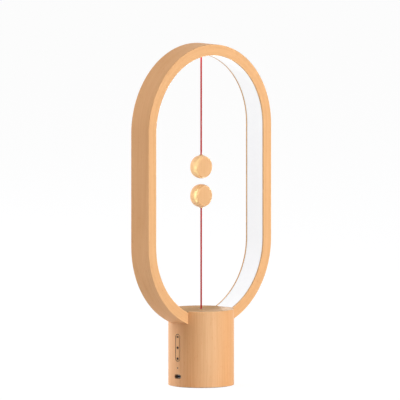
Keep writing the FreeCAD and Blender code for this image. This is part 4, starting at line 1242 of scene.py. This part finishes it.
@dataclass
class Balls(SubAssembly):
    """The two magnetic balls."""

    nodes: tuple[str, ...] = (
        "upper_ball", "upper_magnet", "upper_plug", "upper_ferrule",
        "lower_ball", "lower_magnet", "lower_plug", "lower_ferrule")


# ---- studio


@dataclass(frozen=True)
class StudioLamp:
    """A large soft lamp.

    The way points from the object to the lamp, and the level is the brightness of a white face
    that looks straight at it.
    """

    name: str
    way: Triple
    level: float
    mirrored: bool = False
    tint: Colour = WHITE


@dataclass
class Studio:
    """Camera, lamps, floor and surroundings."""

    turn: float = math.radians(44.12)
    tilt: float = math.radians(5.73)
    width: float = 467.28972 * MM
    aim: Triple = (0.0, 0.0, 0.2)
    shift_right: float = -1.355 * MM
    shift_up: float = 17.1 * MM
    distance: float = 3.0
    clip: tuple[float, float] = (0.05, 60.0)
    lamp_distance: float = 2.2
    lamp_size: float = 1.2
    lamps: tuple[StudioLamp, ...] = (
        StudioLamp("Key", (0.265, -0.933, 0.16), level=0.695, mirrored=True),
        StudioLamp("BackLeft", (-0.185, 0.961, 0.208), level=0.62, tint=COOL),
        StudioLamp("SideLeft", (-0.618, 0.344, 0.707), level=0.25, tint=COOL))
    floor_side: float = 9.0
    floor_rows: int = 9
    floor_grey: Colour = (0.82, 0.82, 0.82)
    floor_share: float = 0.86
    floor_white: float = 1.085
    fill_top: float = 0.9
    fill_strength: float = 0.46

    def camera(self) -> None:
        """A parallel view from the front left, a little above the object."""
        data = bpy.data.cameras.new("Camera")
        data.type = "ORTHO"
        data.ortho_scale = self.width
        data.clip_start, data.clip_end = self.clip
        right = Vector((math.cos(self.turn), -math.sin(self.turn), 0.0))
        back = Vector((-math.sin(self.turn) * math.cos(self.tilt),
                       -math.cos(self.turn) * math.cos(self.tilt), math.sin(self.tilt)))
        up = back.cross(right)
        holder = put("Camera", data)
        target = Vector(self.aim) + right * self.shift_right + up * self.shift_up
        holder.location = target + back * self.distance
        holder.rotation_euler = turn_of(right, up, back)
        bpy.context.scene.camera = holder

    def hang_lamps(self) -> None:
        """Hang the large lamps, which look at the object.

        A lamp's power is its level times pi squared times the square of its distance.
        """
        for lamp in self.lamps:
            way = Vector(lamp.way)
            hung = hang_lamp(lamp.name, (self.lamp_size, self.lamp_size),
                             lamp.level * math.pi ** 2 * self.lamp_distance ** 2, lamp.tint,
                             Vector(self.aim) + way.normalized() * self.lamp_distance,
                             way.to_track_quat("Z", "Y").to_euler())
            hung.visible_glossy = lamp.mirrored

    def in_sight(self, g: Graph) -> Socket:
        """Tell the rays that see from those that only light.

        Args:
            g: The graph that asks.

        Returns:
            1 for a ray from the camera, a mirror or glass, and 0 for others.
        """
        path = g.node("LightPath").outputs
        beyond = g.math("MAXIMUM", path["Is Glossy Ray"], path["Is Transmission Ray"])
        return g.math("MAXIMUM", path["Is Camera Ray"], beyond)

    def floor(self) -> None:
        """A wide pale floor, a flat grid that keeps the object's soft shadow."""
        line = np.linspace(-self.floor_side, self.floor_side, self.floor_rows)
        points = table(line[None, :], line[:, None], 0.0)
        faces = grid_faces(self.floor_rows, self.floor_rows, False)
        mesh = bpy.data.meshes.new("Floor")
        mesh.from_pydata(points.tolist(), [], faces.tolist())
        material = bpy.data.materials.new("PaleFloor")
        g = empty_graph(material)
        matte = g.node("BsdfDiffuse", {"Color": self.floor_grey})
        glow = g.node("Emission", {"Color": WHITE, "Strength": self.floor_white})
        share = g.math("MULTIPLY", self.in_sight(g), self.floor_share)
        mix = g.node("MixShader", {0: share, 1: matte.outputs[0], 2: glow.outputs[0]})
        g.node("OutputMaterial", {0: mix.outputs[0]})
        mesh.materials.append(material)
        put("Floor", mesh)

    def world(self) -> None:
        """White to the camera and to reflections, and a fill light to everything else.

        The fill grows from nothing at the horizon to its full strength overhead.
        """
        world = bpy.data.worlds.new("Studio")
        g = empty_graph(world)
        _, _, up = g.parts(g.node("TexCoord").outputs["Generated"])
        fill = g.node("MapRange", {"Value": up, "From Min": 0.0, "From Max": self.fill_top,
                                   "To Min": 0.0, "To Max": self.fill_strength}).outputs[0]
        strength = g.node("Mix", {0: self.in_sight(g), 2: fill, 3: 1.0}, data_type="FLOAT")
        light = g.node("Background", {"Color": WHITE, "Strength": strength.outputs[0]})
        g.node("OutputWorld", {0: light.outputs[0]})
        bpy.context.scene.world = world

    def build(self) -> None:
        """Set up the whole studio."""
        self.camera()
        self.floor()
        self.world()
        self.hang_lamps()
        bpy.context.scene.view_settings.view_transform = "Standard"


def main() -> None:
    """Build every sub-assembly in order."""
    logging.basicConfig(level=logging.INFO, format="%(name)s: %(message)s")
    # The start-up file brings objects of its own, which would stand in the scene.
    for name in ("Cube", "Light", "Camera"):
        spare = bpy.data.objects.get(name)
        if spare is not None and spare.name not in frame["nodes"]:
            bpy.data.objects.remove(spare)
    for assembly in (Studio(), Strings(), RingOfLight(), Base(), ChargingPort(), KeyPanel(),
                     PullSwitch(), Balls()):
        assembly.build()
        LOG.info("assembly %s done", type(assembly).__name__)


if __name__ == "__main__":
    main()
